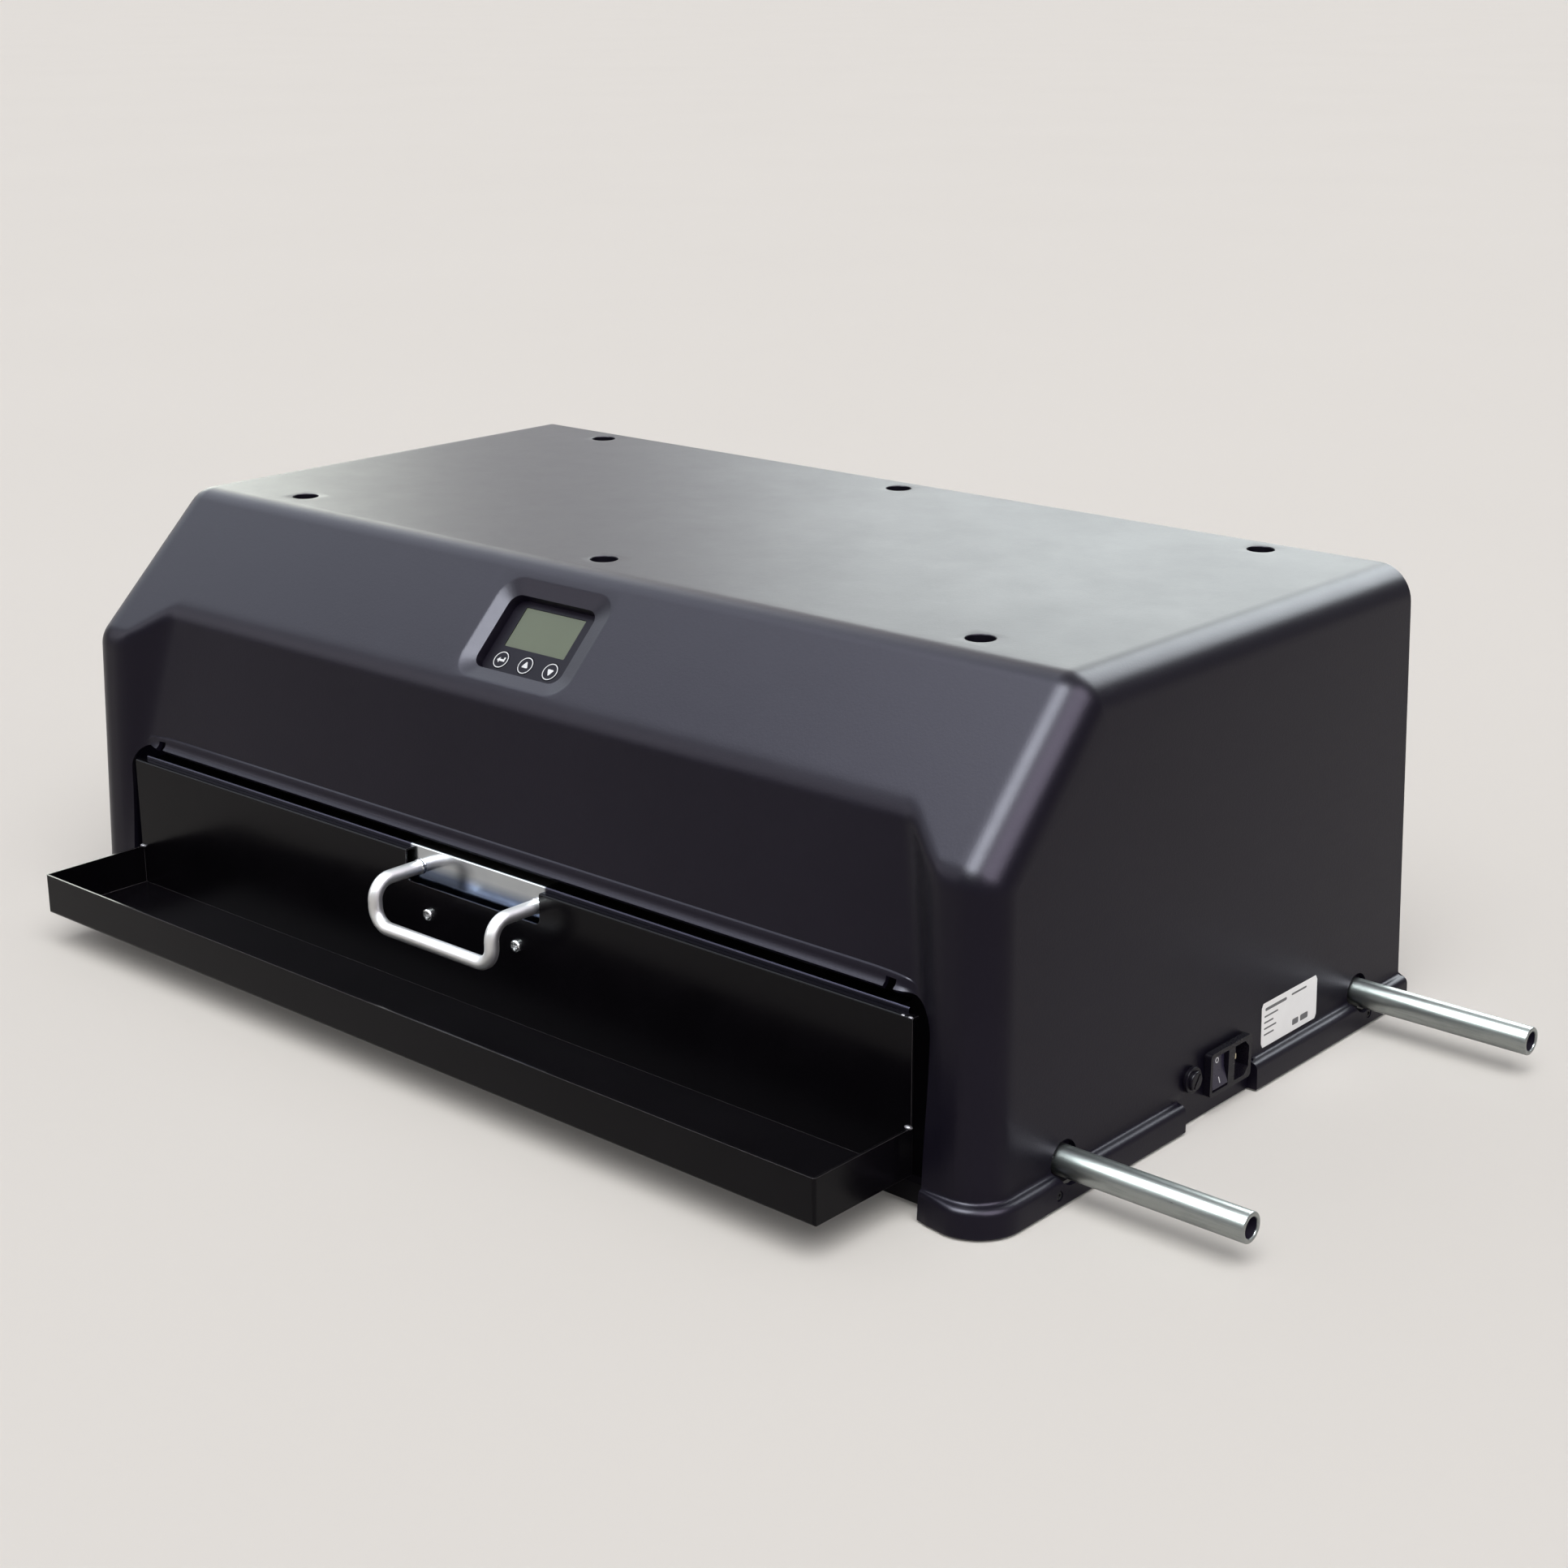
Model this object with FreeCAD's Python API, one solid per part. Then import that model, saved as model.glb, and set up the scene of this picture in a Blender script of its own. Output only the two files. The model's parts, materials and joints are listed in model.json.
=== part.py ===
"""Bench-top drawer oven with a rotating spit, as an assembly of separate pieces.

Frame: +X to the right along the front, +Y to the back, +Z up.  The origin is the centre of
the underside of the middle rubber foot, on the surface that the oven stands on.
All sizes are in millimetres.
"""
import FreeCAD, Part
import math
import os

from FreeCAD import Vector, Rotation, Placement

os.makedirs("parts", exist_ok=True)

# ---------------------------------------------------------------- driving dimensions
# hood, the moulded outer shell
HOOD_TOP = 325.0            # height of the flat top
HOOD_WALL = 4.0             # wall of the moulding
HOOD_HALF_TOP = 417.5       # half width of the flat part of the top
HOOD_ROUND = 24.8           # radius of the top, chamfer and corner edges
DRAFT = 0.028               # outward slope of the upright walls, per unit of height
CHAMFER_TOP_Y = -141.5      # where the 45 degree face leaves the top
BELT_Z = 223.5              # where the 45 degree face ends on the end pillars
BACK_TOP_Y = 239.8          # back wall at the top
RECESS_BELT_Z = 247.5       # where the 45 degree face ends between the pillars
RECESS_LOW = (-234.0, 150.0)  # y, z of the recessed face at the lip
RECESS_HALF = 366.0         # half width of the recessed face
PILLAR_HALF = 402.0         # half width where the pillars' flat fronts begin
OPENING_HALF = 402.0        # half width of the front opening
OPENING_TOP = 150.0         # crease above the lip
OPENING_CORNER = 22.0
LIP_DROP = 10.0             # height of the lip below the crease
PILLAR_ROUND = 16.0         # edges of the end pillars
BELT_ROUND = 16.0           # edge between the 45 degree face and the recessed face
REAR_HALF = 400.0           # opening in the back wall
REAR_Z = (40.0, 285.0)
SKIRT_LOW = 1.5             # underside of the flange round the base
FLANGE_TOP = 20.7
FLANGE_OUT = 7.5
FLANGE_CORNER = 30.0
FLANGE_TOP_ROUND = 5.0
SIDE_SCREW_Y = (-183.0, 193.3)
SIDE_SCREW_Z = 9.5
NOTCH_Y = (-43.5, 43.0)     # gap in the right-hand flange, below the power inlet

# recessed display in the 45 degree face
POCKET_S = 56.0             # distance of its centre down the 45 degree face
POCKET_OUTER = (108.0, 84.0, 17.0)   # width, height, corner radius at the surface
POCKET_INNER = (83.0, 61.5, 9.0)
POCKET_BEVEL = 7.5          # depth of the sloping frame
POCKET_DEPTH = 11.0         # depth of the overlay
KEY_X = (-24.6, 0.0, 24.6)
KEY_V = -20.4               # keys' height from the pocket's centre
KEY_R = 6.9
LCD_SIZE = (59.6, 32.5)
LCD_V = 7.0

# top screws: three columns by two rows
SCREW_X = 332.8
SCREW_Y = (-109.4, 219.5)
WELL_R = 10.0
WELL_DEPTH = 8.0

# drawer
PLATE_Y = -240.0            # front face of the steel plate
PLATE_HALF = 384.0
PLATE_Z = (22.0, 131.8)
PANEL_Y = -245.8            # front face of the black panel
PANEL_HALF = 391.4
PANEL_TOP = 128.5
TRAY_FRONT_Y = -335.2
TRAY_Z = (25.3, 56.7)
SHEET = 1.5
CUTOUT_HALF = 68.5
CUTOUT_LOW = 105.5
HANDLE_HALF = 60.0
HANDLE_Z = (116.0, 84.0)    # feet, grip
HANDLE_Y = -282.0
HANDLE_D = 10.0
TRAY_SCREW = (45.4, 85.0)   # x, z

# cavity and equipment bay
CAVITY_X = (-384.0, 296.0)
CAVITY_Y = (-212.0, 200.0)
CAVITY_Z = (14.0, 204.0)
LINER_T = 1.0
SPIT_Y, SPIT_Z = -10.0, 122.0

# side rails and the power inlet, on the right wall
RAIL_Y = (-168.7, 187.6)
RAIL_Z = 26.0
RAIL_D = 20.0
RAIL_BORE = 13.5
RAIL_END = 583.8
RAIL_LENGTH = 190.0
RAIL_HOLE_D = 27.0
GUIDE_X = (396.0, 444.0)
INLET_Y, INLET_Z = 12.5, 29.5
INLET_SIZE = (50.0, 31.0)
FUSE_Y, FUSE_Z = -28.6, 32.2

BEZEL_OUT = 5.0             # how far the inlet's bezel stands out
ROCKER_Y, ROCKER_W = -0.3, 18.0
ROCKER_TILT = 10.0
SOCKET_Y = 25.5
LABEL_Y = (59.0, 131.0)
LABEL_Z = (24.5, 56.4)

# inside
HEATER_ENDS = ((-150.0, 190.0), (30.0, 190.0), (175.0, 66.0), (175.0, 150.0))
PROBE_X, PROBE_Z = -200.0, 160.0
SPIT_JOURNAL_R = 5.0
FORK_REACH = 27.0
SLIDE_Y = (-211.0, 190.0)
SLIDE_Z = (20.0, 50.0)
BASE_Z = (4.0, 6.0)
BACK_PANEL_Y = (234.0, 235.5)
FAN_X, FAN_Z = 352.0, 165.0


# ---------------------------------------------------------------- helpers
def save(shape, name):
    """One STEP per node; a list becomes a group of separate solids."""
    if isinstance(shape, (list, tuple)):
        shape = Part.makeCompound(list(shape))
    shape.exportStep("parts/%s.step" % name)


def box(x, y, z):
    """Box from three (low, high) pairs."""
    return Part.makeBox(x[1] - x[0], y[1] - y[0], z[1] - z[0], Vector(x[0], y[0], z[0]))


def rod(radius, start, end):
    """Solid cylinder between two points."""
    a, b = Vector(*start), Vector(*end)
    return Part.makeCylinder(radius, (b - a).Length, a, b - a)


def tube(outer, inner, start, end):
    return rod(outer, start, end).cut(rod(inner, start, end))


def prism(points, direction):
    """Prism on a closed polygon of (x, y, z) points."""
    wire = Part.makePolygon([Vector(*p) for p in points] + [Vector(*points[0])])
    return Part.Face(wire).extrude(Vector(*direction))


def round_rect(width, height, radius, z=0.0):
    """Wire of a rounded rectangle about the origin, at height z."""
    w, h, r = width / 2, height / 2, radius
    corners = [(w - r, h - r, 0), (-w + r, h - r, 90), (-w + r, -h + r, 180), (w - r, -h + r, 270)]
    edges = []
    ends = []
    for cx, cy, start in corners:
        a0, a1 = math.radians(start), math.radians(start + 90)
        am = (a0 + a1) / 2
        pts = [Vector(cx + r * math.cos(a), cy + r * math.sin(a), z) for a in (a0, am, a1)]
        edges.append(Part.Arc(*pts).toShape())
        ends.append((pts[0], pts[2]))
    lines = []
    for i in range(4):
        lines.append(Part.LineSegment(ends[i][1], ends[(i + 1) % 4][0]).toShape())
    ordered = []
    for arc, line in zip(edges, lines):
        ordered += [arc, line]
    return Part.Wire(ordered)


def rounded_block(width, height, radius, z0, z1):
    """Rounded rectangular block about the z axis."""
    return Part.Face(round_rect(width, height, radius, z0)).extrude(Vector(0, 0, z1 - z0))


def frustum(outer, inner, z_outer, z_inner):
    """Solid between a large rounded rectangle and a small one."""
    return Part.makeLoft([round_rect(*inner, z_inner), round_rect(*outer, z_outer)], True, True)


def bent_rod(radius, points, bends):
    """Round rod along straight runs joined by tangent arcs, one bend radius per inner point."""
    pts = [Vector(*p) for p in points]
    edges = []
    last = pts[0]
    for i in range(1, len(pts) - 1):
        a = (pts[i - 1] - pts[i]).normalize()
        b = (pts[i + 1] - pts[i]).normalize()
        half = a.getAngle(b) / 2
        reach = bends[i - 1] / math.tan(half)
        p, q = pts[i] + a * reach, pts[i] + b * reach
        centre = pts[i] + (a + b).normalize() * (bends[i - 1] / math.sin(half))
        middle = centre + (pts[i] - centre).normalize() * bends[i - 1]
        if (p - last).Length > 1e-6:
            edges.append(Part.LineSegment(last, p).toShape())
        edges.append(Part.Arc(p, middle, q).toShape())
        last = q
    edges.append(Part.LineSegment(last, pts[-1]).toShape())
    path = Part.Wire(edges)
    circle = Part.Wire(Part.makeCircle(radius, pts[0], pts[1] - pts[0]))
    return path.makePipeShell([circle], True, True)


def fuse_all(shapes):
    result = shapes[0]
    for shape in shapes[1:]:
        result = result.fuse(shape)
    return result.removeSplitter()


def edges_where(shape, test):
    return [e for e in shape.Edges if test(e)]


def middle_of(edge):
    return edge.valueAt((edge.FirstParameter + edge.LastParameter) / 2)


# ---------------------------------------------------------------- hood outline
def side_x(z):
    """Half width of the hood's side walls at height z."""
    return HOOD_HALF_TOP + HOOD_ROUND + DRAFT * (HOOD_TOP - HOOD_ROUND - z)


def pillar_y(z):
    return -243.0 - DRAFT * (BELT_Z - z)


def back_y(z):
    return BACK_TOP_Y + DRAFT * (HOOD_TOP - z)


def convex_form(inset, low):
    """Hood without its recess, drawn in by inset, from the height low up."""
    top = HOOD_TOP - inset
    chamfer_y = CHAMFER_TOP_Y + inset * (math.sqrt(2) - 1)
    belt_y = pillar_y(BELT_Z) + inset
    belt_z = top - (chamfer_y - belt_y)
    profile = [(0, back_y(top) - inset, top), (0, back_y(low) - inset, low),
               (0, pillar_y(low) + inset, low), (0, belt_y, belt_z), (0, chamfer_y, top)]
    span = 480.0
    body = prism([(-span, y, z) for _, y, z in profile], (2 * span, 0, 0))
    wide, narrow = side_x(low) - inset, side_x(top) - inset
    front = [(-wide, -400, low), (wide, -400, low), (narrow, -400, top), (-narrow, -400, top)]
    body = body.common(prism(front, (0, 800, 0)))
    radius = HOOD_ROUND - inset

    def to_round(edge):
        m = middle_of(edge)
        along_side = abs(m.x) > narrow - 1 and m.y < back_y(m.z) - inset - 1 and m.z > low + 1
        across = abs(m.x) < 1 and m.y < 0 and m.z > low + 1
        return along_side or across

    return body.makeFillet(radius, edges_where(body, to_round))


def recess_form(inset):
    """Space in front of the recessed face, between the pillars."""
    low_y, low_z = RECESS_LOW
    belt_y = CHAMFER_TOP_Y - (HOOD_TOP - RECESS_BELT_Z)
    lean = (belt_y - low_y) / (RECESS_BELT_Z - low_z)
    floor_z, roof_z, outer_y = 90.0, 330.0, -320.0
    face = [(-480, low_y + lean * (z - low_z) + inset, z) for z in (floor_z, roof_z)]
    form = prism([face[0], face[1], (-480, outer_y, roof_z), (-480, outer_y, floor_z)], (960, 0, 0))
    spread = (PILLAR_HALF - RECESS_HALF) / (belt_y - pillar_y(BELT_Z))
    inner_y = -180.0
    near = RECESS_HALF - spread * (inner_y - belt_y) + inset * 0.6
    far = RECESS_HALF + spread * (belt_y - outer_y) + inset * 0.6
    plan = [(-near, inner_y, floor_z), (near, inner_y, floor_z),
            (far, outer_y, floor_z), (-far, outer_y, floor_z)]
    return form.common(prism(plan, (0, 0, roof_z - floor_z)))


def hood_form(inset, low):
    """Outer form of the hood, drawn in by inset."""
    body = convex_form(inset, low).cut(recess_form(inset))
    pillar_edges = edges_where(body, lambda e: 380 < abs(middle_of(e).x) < 412
                               and middle_of(e).y < -235 + inset and 92 < middle_of(e).z < 205)
    body = body.makeFillet(PILLAR_ROUND, pillar_edges)
    belt_edges = edges_where(body, lambda e: abs(middle_of(e).x) < 1
                             and abs(middle_of(e).z - RECESS_BELT_Z) < 6)
    return body.makeFillet(BELT_ROUND, belt_edges)


def on_chamfer(shape):
    """Place a shape drawn about the pocket: x right, y up the slope, z out of it."""
    drop = POCKET_S / math.sqrt(2)
    centre = Vector(0, CHAMFER_TOP_Y - drop, HOOD_TOP - drop)
    shape.Placement = Placement(centre, Rotation(Vector(1, 0, 0), 45)).multiply(shape.Placement)
    return shape


def skirt_form(inset, low, high):
    """Solid block of the flange round the base, open to the back."""
    wide = side_x(low) + FLANGE_OUT - inset
    front = pillar_y(low) - FLANGE_OUT + inset
    rear = back_y(low)
    block = box((-wide, wide), (front, rear), (low, high))
    corners = edges_where(block, lambda e: abs(middle_of(e).z - (low + high) / 2) < 1 and middle_of(e).y < 0)
    return block.makeFillet(FLANGE_CORNER - inset, corners)


# ---------------------------------------------------------------- casing
def make_hood():
    shell = hood_form(0, SKIRT_LOW)
    skirt = skirt_form(0, SKIRT_LOW, FLANGE_TOP)
    upper = edges_where(skirt, lambda e: abs(middle_of(e).z - FLANGE_TOP) < 0.01
                        and middle_of(e).y < back_y(0) - 1)
    skirt = skirt.makeFillet(FLANGE_TOP_ROUND, upper)
    body = shell.fuse(skirt)
    hollow = hood_form(HOOD_WALL, -5.0)
    body = body.cut(hollow)
    # bosses under the top screws
    for x in (-SCREW_X, 0, SCREW_X):
        for y in SCREW_Y:
            boss = rod(WELL_R + 3, (x, y, HOOD_TOP - WELL_DEPTH - 6), (x, y, HOOD_TOP - 2))
            body = body.fuse(boss)
    # walls of the display pocket
    outer_w, outer_h, outer_r = POCKET_OUTER
    inner_w, inner_h, inner_r = POCKET_INNER
    wall = frustum((outer_w + 8, outer_h + 8, outer_r + 4), (inner_w + 8, inner_h + 8, inner_r + 4),
                   -1.0, -POCKET_BEVEL - 2)
    wall = wall.fuse(rounded_block(inner_w + 8, inner_h + 8, inner_r + 4,
                                   -POCKET_DEPTH - 3, -POCKET_BEVEL - 1.5))
    body = body.fuse(on_chamfer(wall))
    # cuts
    for x in (-SCREW_X, 0, SCREW_X):
        for y in SCREW_Y:
            body = body.cut(rod(WELL_R, (x, y, HOOD_TOP - WELL_DEPTH), (x, y, HOOD_TOP + 5)))
            body = body.cut(rod(2.75, (x, y, HOOD_TOP - 30), (x, y, HOOD_TOP)))
    pocket = frustum(POCKET_OUTER, POCKET_INNER, 0.5, -POCKET_BEVEL)
    pocket = pocket.fuse(rounded_block(*POCKET_INNER, -POCKET_DEPTH - 3.2, -POCKET_BEVEL + 0.01))
    body = body.cut(on_chamfer(pocket))
    # front opening with rounded upper corners
    mouth = Part.Face(round_rect(2 * OPENING_HALF, 2 * (OPENING_TOP - LIP_DROP), OPENING_CORNER, 0))
    mouth = mouth.extrude(Vector(0, 0, 200))
    mouth.Placement = Placement(Vector(0, -120, 0), Rotation(Vector(1, 0, 0), 90))
    body = body.cut(mouth)
    # opening in the back wall
    rear = Part.Face(round_rect(2 * REAR_HALF, REAR_Z[1] - REAR_Z[0], 12, 0)).extrude(Vector(0, 0, 60))
    rear.Placement = Placement(Vector(0, 280, (REAR_Z[0] + REAR_Z[1]) / 2), Rotation(Vector(1, 0, 0), 90))
    body = body.cut(rear)
    # right wall: rails, inlet, fuse and the notch in the flange
    for y in RAIL_Y:
        body = body.cut(rod(RAIL_HOLE_D / 2, (430, y, RAIL_Z), (480, y, RAIL_Z)))
    body = body.cut(box((side_x(30) + 0.05, 480), NOTCH_Y, (-5, FLANGE_TOP + 5)))
    window_y, window_z = INLET_SIZE[0] / 2 - 1.5, INLET_SIZE[1] / 2 - 1.5
    body = body.cut(box((430, 470), (INLET_Y - window_y, INLET_Y + window_y),
                        (INLET_Z - window_z, INLET_Z + window_z)))
    body = body.cut(rod(7.7, (430, FUSE_Y, FUSE_Z), (470, FUSE_Y, FUSE_Z)))
    head_x = side_x(SIDE_SCREW_Z) + FLANGE_OUT - 2
    for y in SIDE_SCREW_Y:
        body = body.cut(rod(1.7, (430, y, SIDE_SCREW_Z), (470, y, SIDE_SCREW_Z)))
        body = body.cut(rod(3.2, (head_x, y, SIDE_SCREW_Z), (480, y, SIDE_SCREW_Z)))
    save(body, "hood")


def screw(head_r, head_h, shank_r, length, recess):
    """Pan-head screw along -z, its head's underside at z = 0, with a cross or hexagon recess."""
    head = Part.makeCylinder(head_r, head_h)
    rim = edges_where(head, lambda e: abs(middle_of(e).z - head_h) < 1e-6)
    head = head.makeFillet(head_h * 0.45, rim)
    body = head.fuse(Part.makeCylinder(shank_r, length, Vector(0, 0, -length)))
    w = head_r * 0.22
    if recess == "cross":
        tool = box((-w, w), (-head_r * 0.6, head_r * 0.6), (head_h * 0.35, head_h + 1))
        tool = tool.fuse(box((-head_r * 0.6, head_r * 0.6), (-w, w), (head_h * 0.35, head_h + 1)))
    else:
        points = [(head_r * 0.55 * math.cos(math.radians(60 * i)),
                   head_r * 0.55 * math.sin(math.radians(60 * i)), head_h * 0.35) for i in range(6)]
        tool = prism(points, (0, 0, head_h))
    return body.cut(tool)


def aimed(shape, position, direction):
    """Turn a shape drawn along +z to another direction and move it."""
    shape.Placement = Placement(Vector(*position), Rotation(Vector(0, 0, 1), Vector(*direction)))
    return shape


def make_chassis():
    base = box((-438, 438), (-228, 232), BASE_Z).fuse(box((-398, 398), (-240, -228), BASE_Z))
    base = base.fuse(box((-398, 398), (-240, -238.5), (BASE_Z[0], 18))).removeSplitter()
    save(base, "base_plate")

    feet = [Part.makeCone(13, 15, BASE_Z[0], Vector(x, y, 0))
            for x, y in [(-380, -200), (380, -200), (-380, 205), (380, 205), (0, 0)]]
    save(feet, "rubber_feet")

    panel = box((-430, 430), BACK_PANEL_Y, (BASE_Z[1], 300))
    for column in range(5):
        for row in range(8):
            x, z = -300 + column * 90, 90 + row * 16
            panel = panel.cut(box((x, x + 66), (230, 240), (z, z + 5)))
    grille = rod(37, (FAN_X, 230, FAN_Z), (FAN_X, 240, FAN_Z))
    bars = [box((FAN_X - 40, FAN_X + 40), (230, 240), (FAN_Z - 40 + i * 9, FAN_Z - 36 + i * 9))
            for i in range(9)]
    bars.append(box((FAN_X - 3, FAN_X + 3), (230, 240), (FAN_Z - 40, FAN_Z + 40)))
    panel = panel.cut(grille.cut(fuse_all(bars)))
    places = [(x, z) for x in (-380, -130, 130, 380) for z in (54, 271)]
    for x, z in places:
        panel = panel.cut(rod(2.2, (x, 230, z), (x, 240, z)))
    save(panel, "rear_panel")
    save([aimed(screw(4, 2.4, 2, 8, "cross"), (x, BACK_PANEL_Y[1], z), (0, 1, 0)) for x, z in places],
         "rear_panel_screws")

    frame = []
    for y in SCREW_Y:
        rail = box((-430, 430), (y - 9, y + 9), (301, HOOD_TOP - WELL_DEPTH - 6))
        rail = rail.cut(box((-428.5, 428.5), (y - 7.5, y + 7.5), (302.5, HOOD_TOP - WELL_DEPTH - 7.5)))
        for x in (-SCREW_X, 0, SCREW_X):
            rail = rail.cut(rod(2.5, (x, y, 290), (x, y, 330)))
        frame.append(rail)
        for x in (-424, 424):
            frame.append(box((x - 6, x + 6), (y - 6, y + 6), (BASE_Z[1], 301)))
    save(frame, "top_frame")
    save([aimed(screw(5, 4, 2.5, 14, "hex"), (x, y, HOOD_TOP - WELL_DEPTH), (0, 0, 1))
          for x in (-SCREW_X, 0, SCREW_X) for y in SCREW_Y], "hood_top_screws")


def make_cavity():
    (x0, x1), (y0, y1), (z0, z1) = CAVITY_X, CAVITY_Y, CAVITY_Z
    t = LINER_T
    liner = box((x0, x1), (y0, y1), (z0, z1)).cut(box((x0 + t, x1 - t), (y0 - 5, y1 - t), (z0 + t, z1 - t)))
    liner = liner.fuse(box((-400, x0), (y0, y0 + t), (BASE_Z[1], 146)))
    liner = liner.cut(rod(6, (x1 - 5, SPIT_Y, SPIT_Z), (x1 + 5, SPIT_Y, SPIT_Z)))
    for y, z in HEATER_ENDS:
        liner = liner.cut(rod(4.5, (x1 - 5, y, z), (x1 + 5, y, z)))
    liner = liner.cut(rod(2.6, (PROBE_X, y1 - 5, PROBE_Z), (PROBE_X, y1 + 5, PROBE_Z)))
    save(liner.removeSplitter(), "oven_liner")

    wool = box((x0, x1), (y0, y1), (z1, z1 + 26)).fuse(box((x0, x1), (y1, y1 + 26), (z0, z1 + 26)))
    wool = wool.cut(rod(2.6, (PROBE_X, y1 - 5, PROBE_Z), (PROBE_X, y1 + 40, PROBE_Z)))
    save(wool.removeSplitter(), "liner_insulation")

    top_z, ys = HEATER_ENDS[0][1], (-150, -90, -30, 30)
    right, turn, left = 318, 262, -340
    route = [(right, ys[0], top_z), (left, ys[0], top_z), (left, ys[1], top_z), (turn, ys[1], top_z),
             (turn, ys[2], top_z), (left, ys[2], top_z), (left, ys[3], top_z), (right, ys[3], top_z)]
    save(bent_rod(4, route, [25] * 6), "upper_heating_element")
    back_y_pos = HEATER_ENDS[2][0]
    low_z, high_z = HEATER_ENDS[2][1], HEATER_ENDS[3][1]
    route = [(right, back_y_pos, low_z), (left, back_y_pos, low_z), (left, back_y_pos, high_z),
             (right, back_y_pos, high_z)]
    save(bent_rod(4, route, [25] * 2), "rear_heating_element")
    save([tube(8, 4, (x1, y, z), (x1 + 6, y, z)) for y, z in HEATER_ENDS], "heater_bushes")
    hangers = []
    for x in (-220, 0, 200):
        hanger = box((x - 6, x + 6), (-165, 45), (top_z - 5.2, top_z - 4))
        for y in (-165, 43.8):
            hanger = hanger.fuse(box((x - 6, x + 6), (y, y + 1.2), (top_z - 5.2, z1 - t)))
        hangers.append(hanger.removeSplitter())
    save(hangers, "heater_hangers")
    save(rod(2.5, (PROBE_X, 110, PROBE_Z), (PROBE_X, y1 + 30, PROBE_Z)), "temperature_probe")

    cradle = box((x0 + t, x0 + t + 12), (SPIT_Y - 14, SPIT_Y + 14), (SPIT_Z - 22, SPIT_Z + 12))
    journal = rod(SPIT_JOURNAL_R + 0.05, (x0, SPIT_Y, SPIT_Z), (x0 + 20, SPIT_Y, SPIT_Z))
    slot = box((x0, x0 + 20), (SPIT_Y - SPIT_JOURNAL_R - 0.05, SPIT_Y + SPIT_JOURNAL_R + 0.05),
               (SPIT_Z, SPIT_Z + 20))
    save(cradle.cut(journal).cut(slot), "spit_bearing")
    save(box((x1 + 1, 401), (y0 - 1.5, y0), (BASE_Z[1], 146)), "bay_cover")
    for name, inner, way in (("left", x0 + t, 1), ("right", x1 - t, -1)):
        web = sorted((inner, inner + way * 1.5))
        lip = sorted((inner, inner + way * 11))
        rail = box(web, SLIDE_Y, SLIDE_Z)
        for z in (SLIDE_Z[0], SLIDE_Z[1] - 1.5):
            rail = rail.fuse(box(lip, SLIDE_Y, (z, z + 1.5)))
        save(rail.removeSplitter(), "slide_rail_" + name)


def make_spit():
    x1 = CAVITY_X[1]
    bar = box((-364, 289), (SPIT_Y - 4, SPIT_Y + 4), (SPIT_Z - 4, SPIT_Z + 4))
    bar = bar.fuse(rod(SPIT_JOURNAL_R, (-382, SPIT_Y, SPIT_Z), (-364, SPIT_Y, SPIT_Z)))
    bar = bar.fuse(rod(8, (-368, SPIT_Y, SPIT_Z), (-364, SPIT_Y, SPIT_Z)))
    save(bar.removeSplitter(), "spit_shaft")
    hub = rod(10, (275, SPIT_Y, SPIT_Z), (291, SPIT_Y, SPIT_Z))
    hub = hub.fuse(rod(4, (291, SPIT_Y, SPIT_Z), (x1 + 16, SPIT_Y, SPIT_Z)))
    save(hub.cut(box((270, 289), (SPIT_Y - 4, SPIT_Y + 4), (SPIT_Z - 4, SPIT_Z + 4))), "drive_socket")
    screws = []
    for name, x, way in (("left", -210, 1), ("right", 130, -1)):
        a, b = sorted((x, x + way * 14))
        fork = rod(11, (a, SPIT_Y, SPIT_Z), (b, SPIT_Y, SPIT_Z))
        mid = (a + b) / 2
        for side in (-1, 1):
            arm = [(mid, SPIT_Y, SPIT_Z + side * 6), (mid, SPIT_Y, SPIT_Z + side * FORK_REACH),
                   (mid + way * 78, SPIT_Y, SPIT_Z + side * FORK_REACH)]
            fork = fork.fuse(bent_rod(2.5, arm, [9]))
            tip = Part.makeCone(2.5, 0.6, 12, Vector(mid + way * 78, SPIT_Y, SPIT_Z + side * FORK_REACH),
                                Vector(way, 0, 0))
            fork = fork.fuse(tip)
        fork = fork.cut(box((a - 1, b + 1), (SPIT_Y - 4, SPIT_Y + 4), (SPIT_Z - 4, SPIT_Z + 4)))
        fork = fork.cut(rod(2.5, (mid, SPIT_Y + 3.9, SPIT_Z), (mid, SPIT_Y + 12, SPIT_Z)))
        save(fork, "spit_fork_" + name)
        knob = rod(8, (mid, SPIT_Y + 16, SPIT_Z), (mid, SPIT_Y + 22, SPIT_Z))
        for i in range(12):
            angle = math.radians(30 * i)
            cx, cz = mid + 8.6 * math.cos(angle), SPIT_Z + 8.6 * math.sin(angle)
            knob = knob.cut(rod(1.4, (cx, SPIT_Y + 15, cz), (cx, SPIT_Y + 23, cz)))
        screws.append(knob.fuse(rod(2.4, (mid, SPIT_Y + 4, SPIT_Z), (mid, SPIT_Y + 16, SPIT_Z))))
    save(screws, "fork_thumb_screws")


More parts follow.
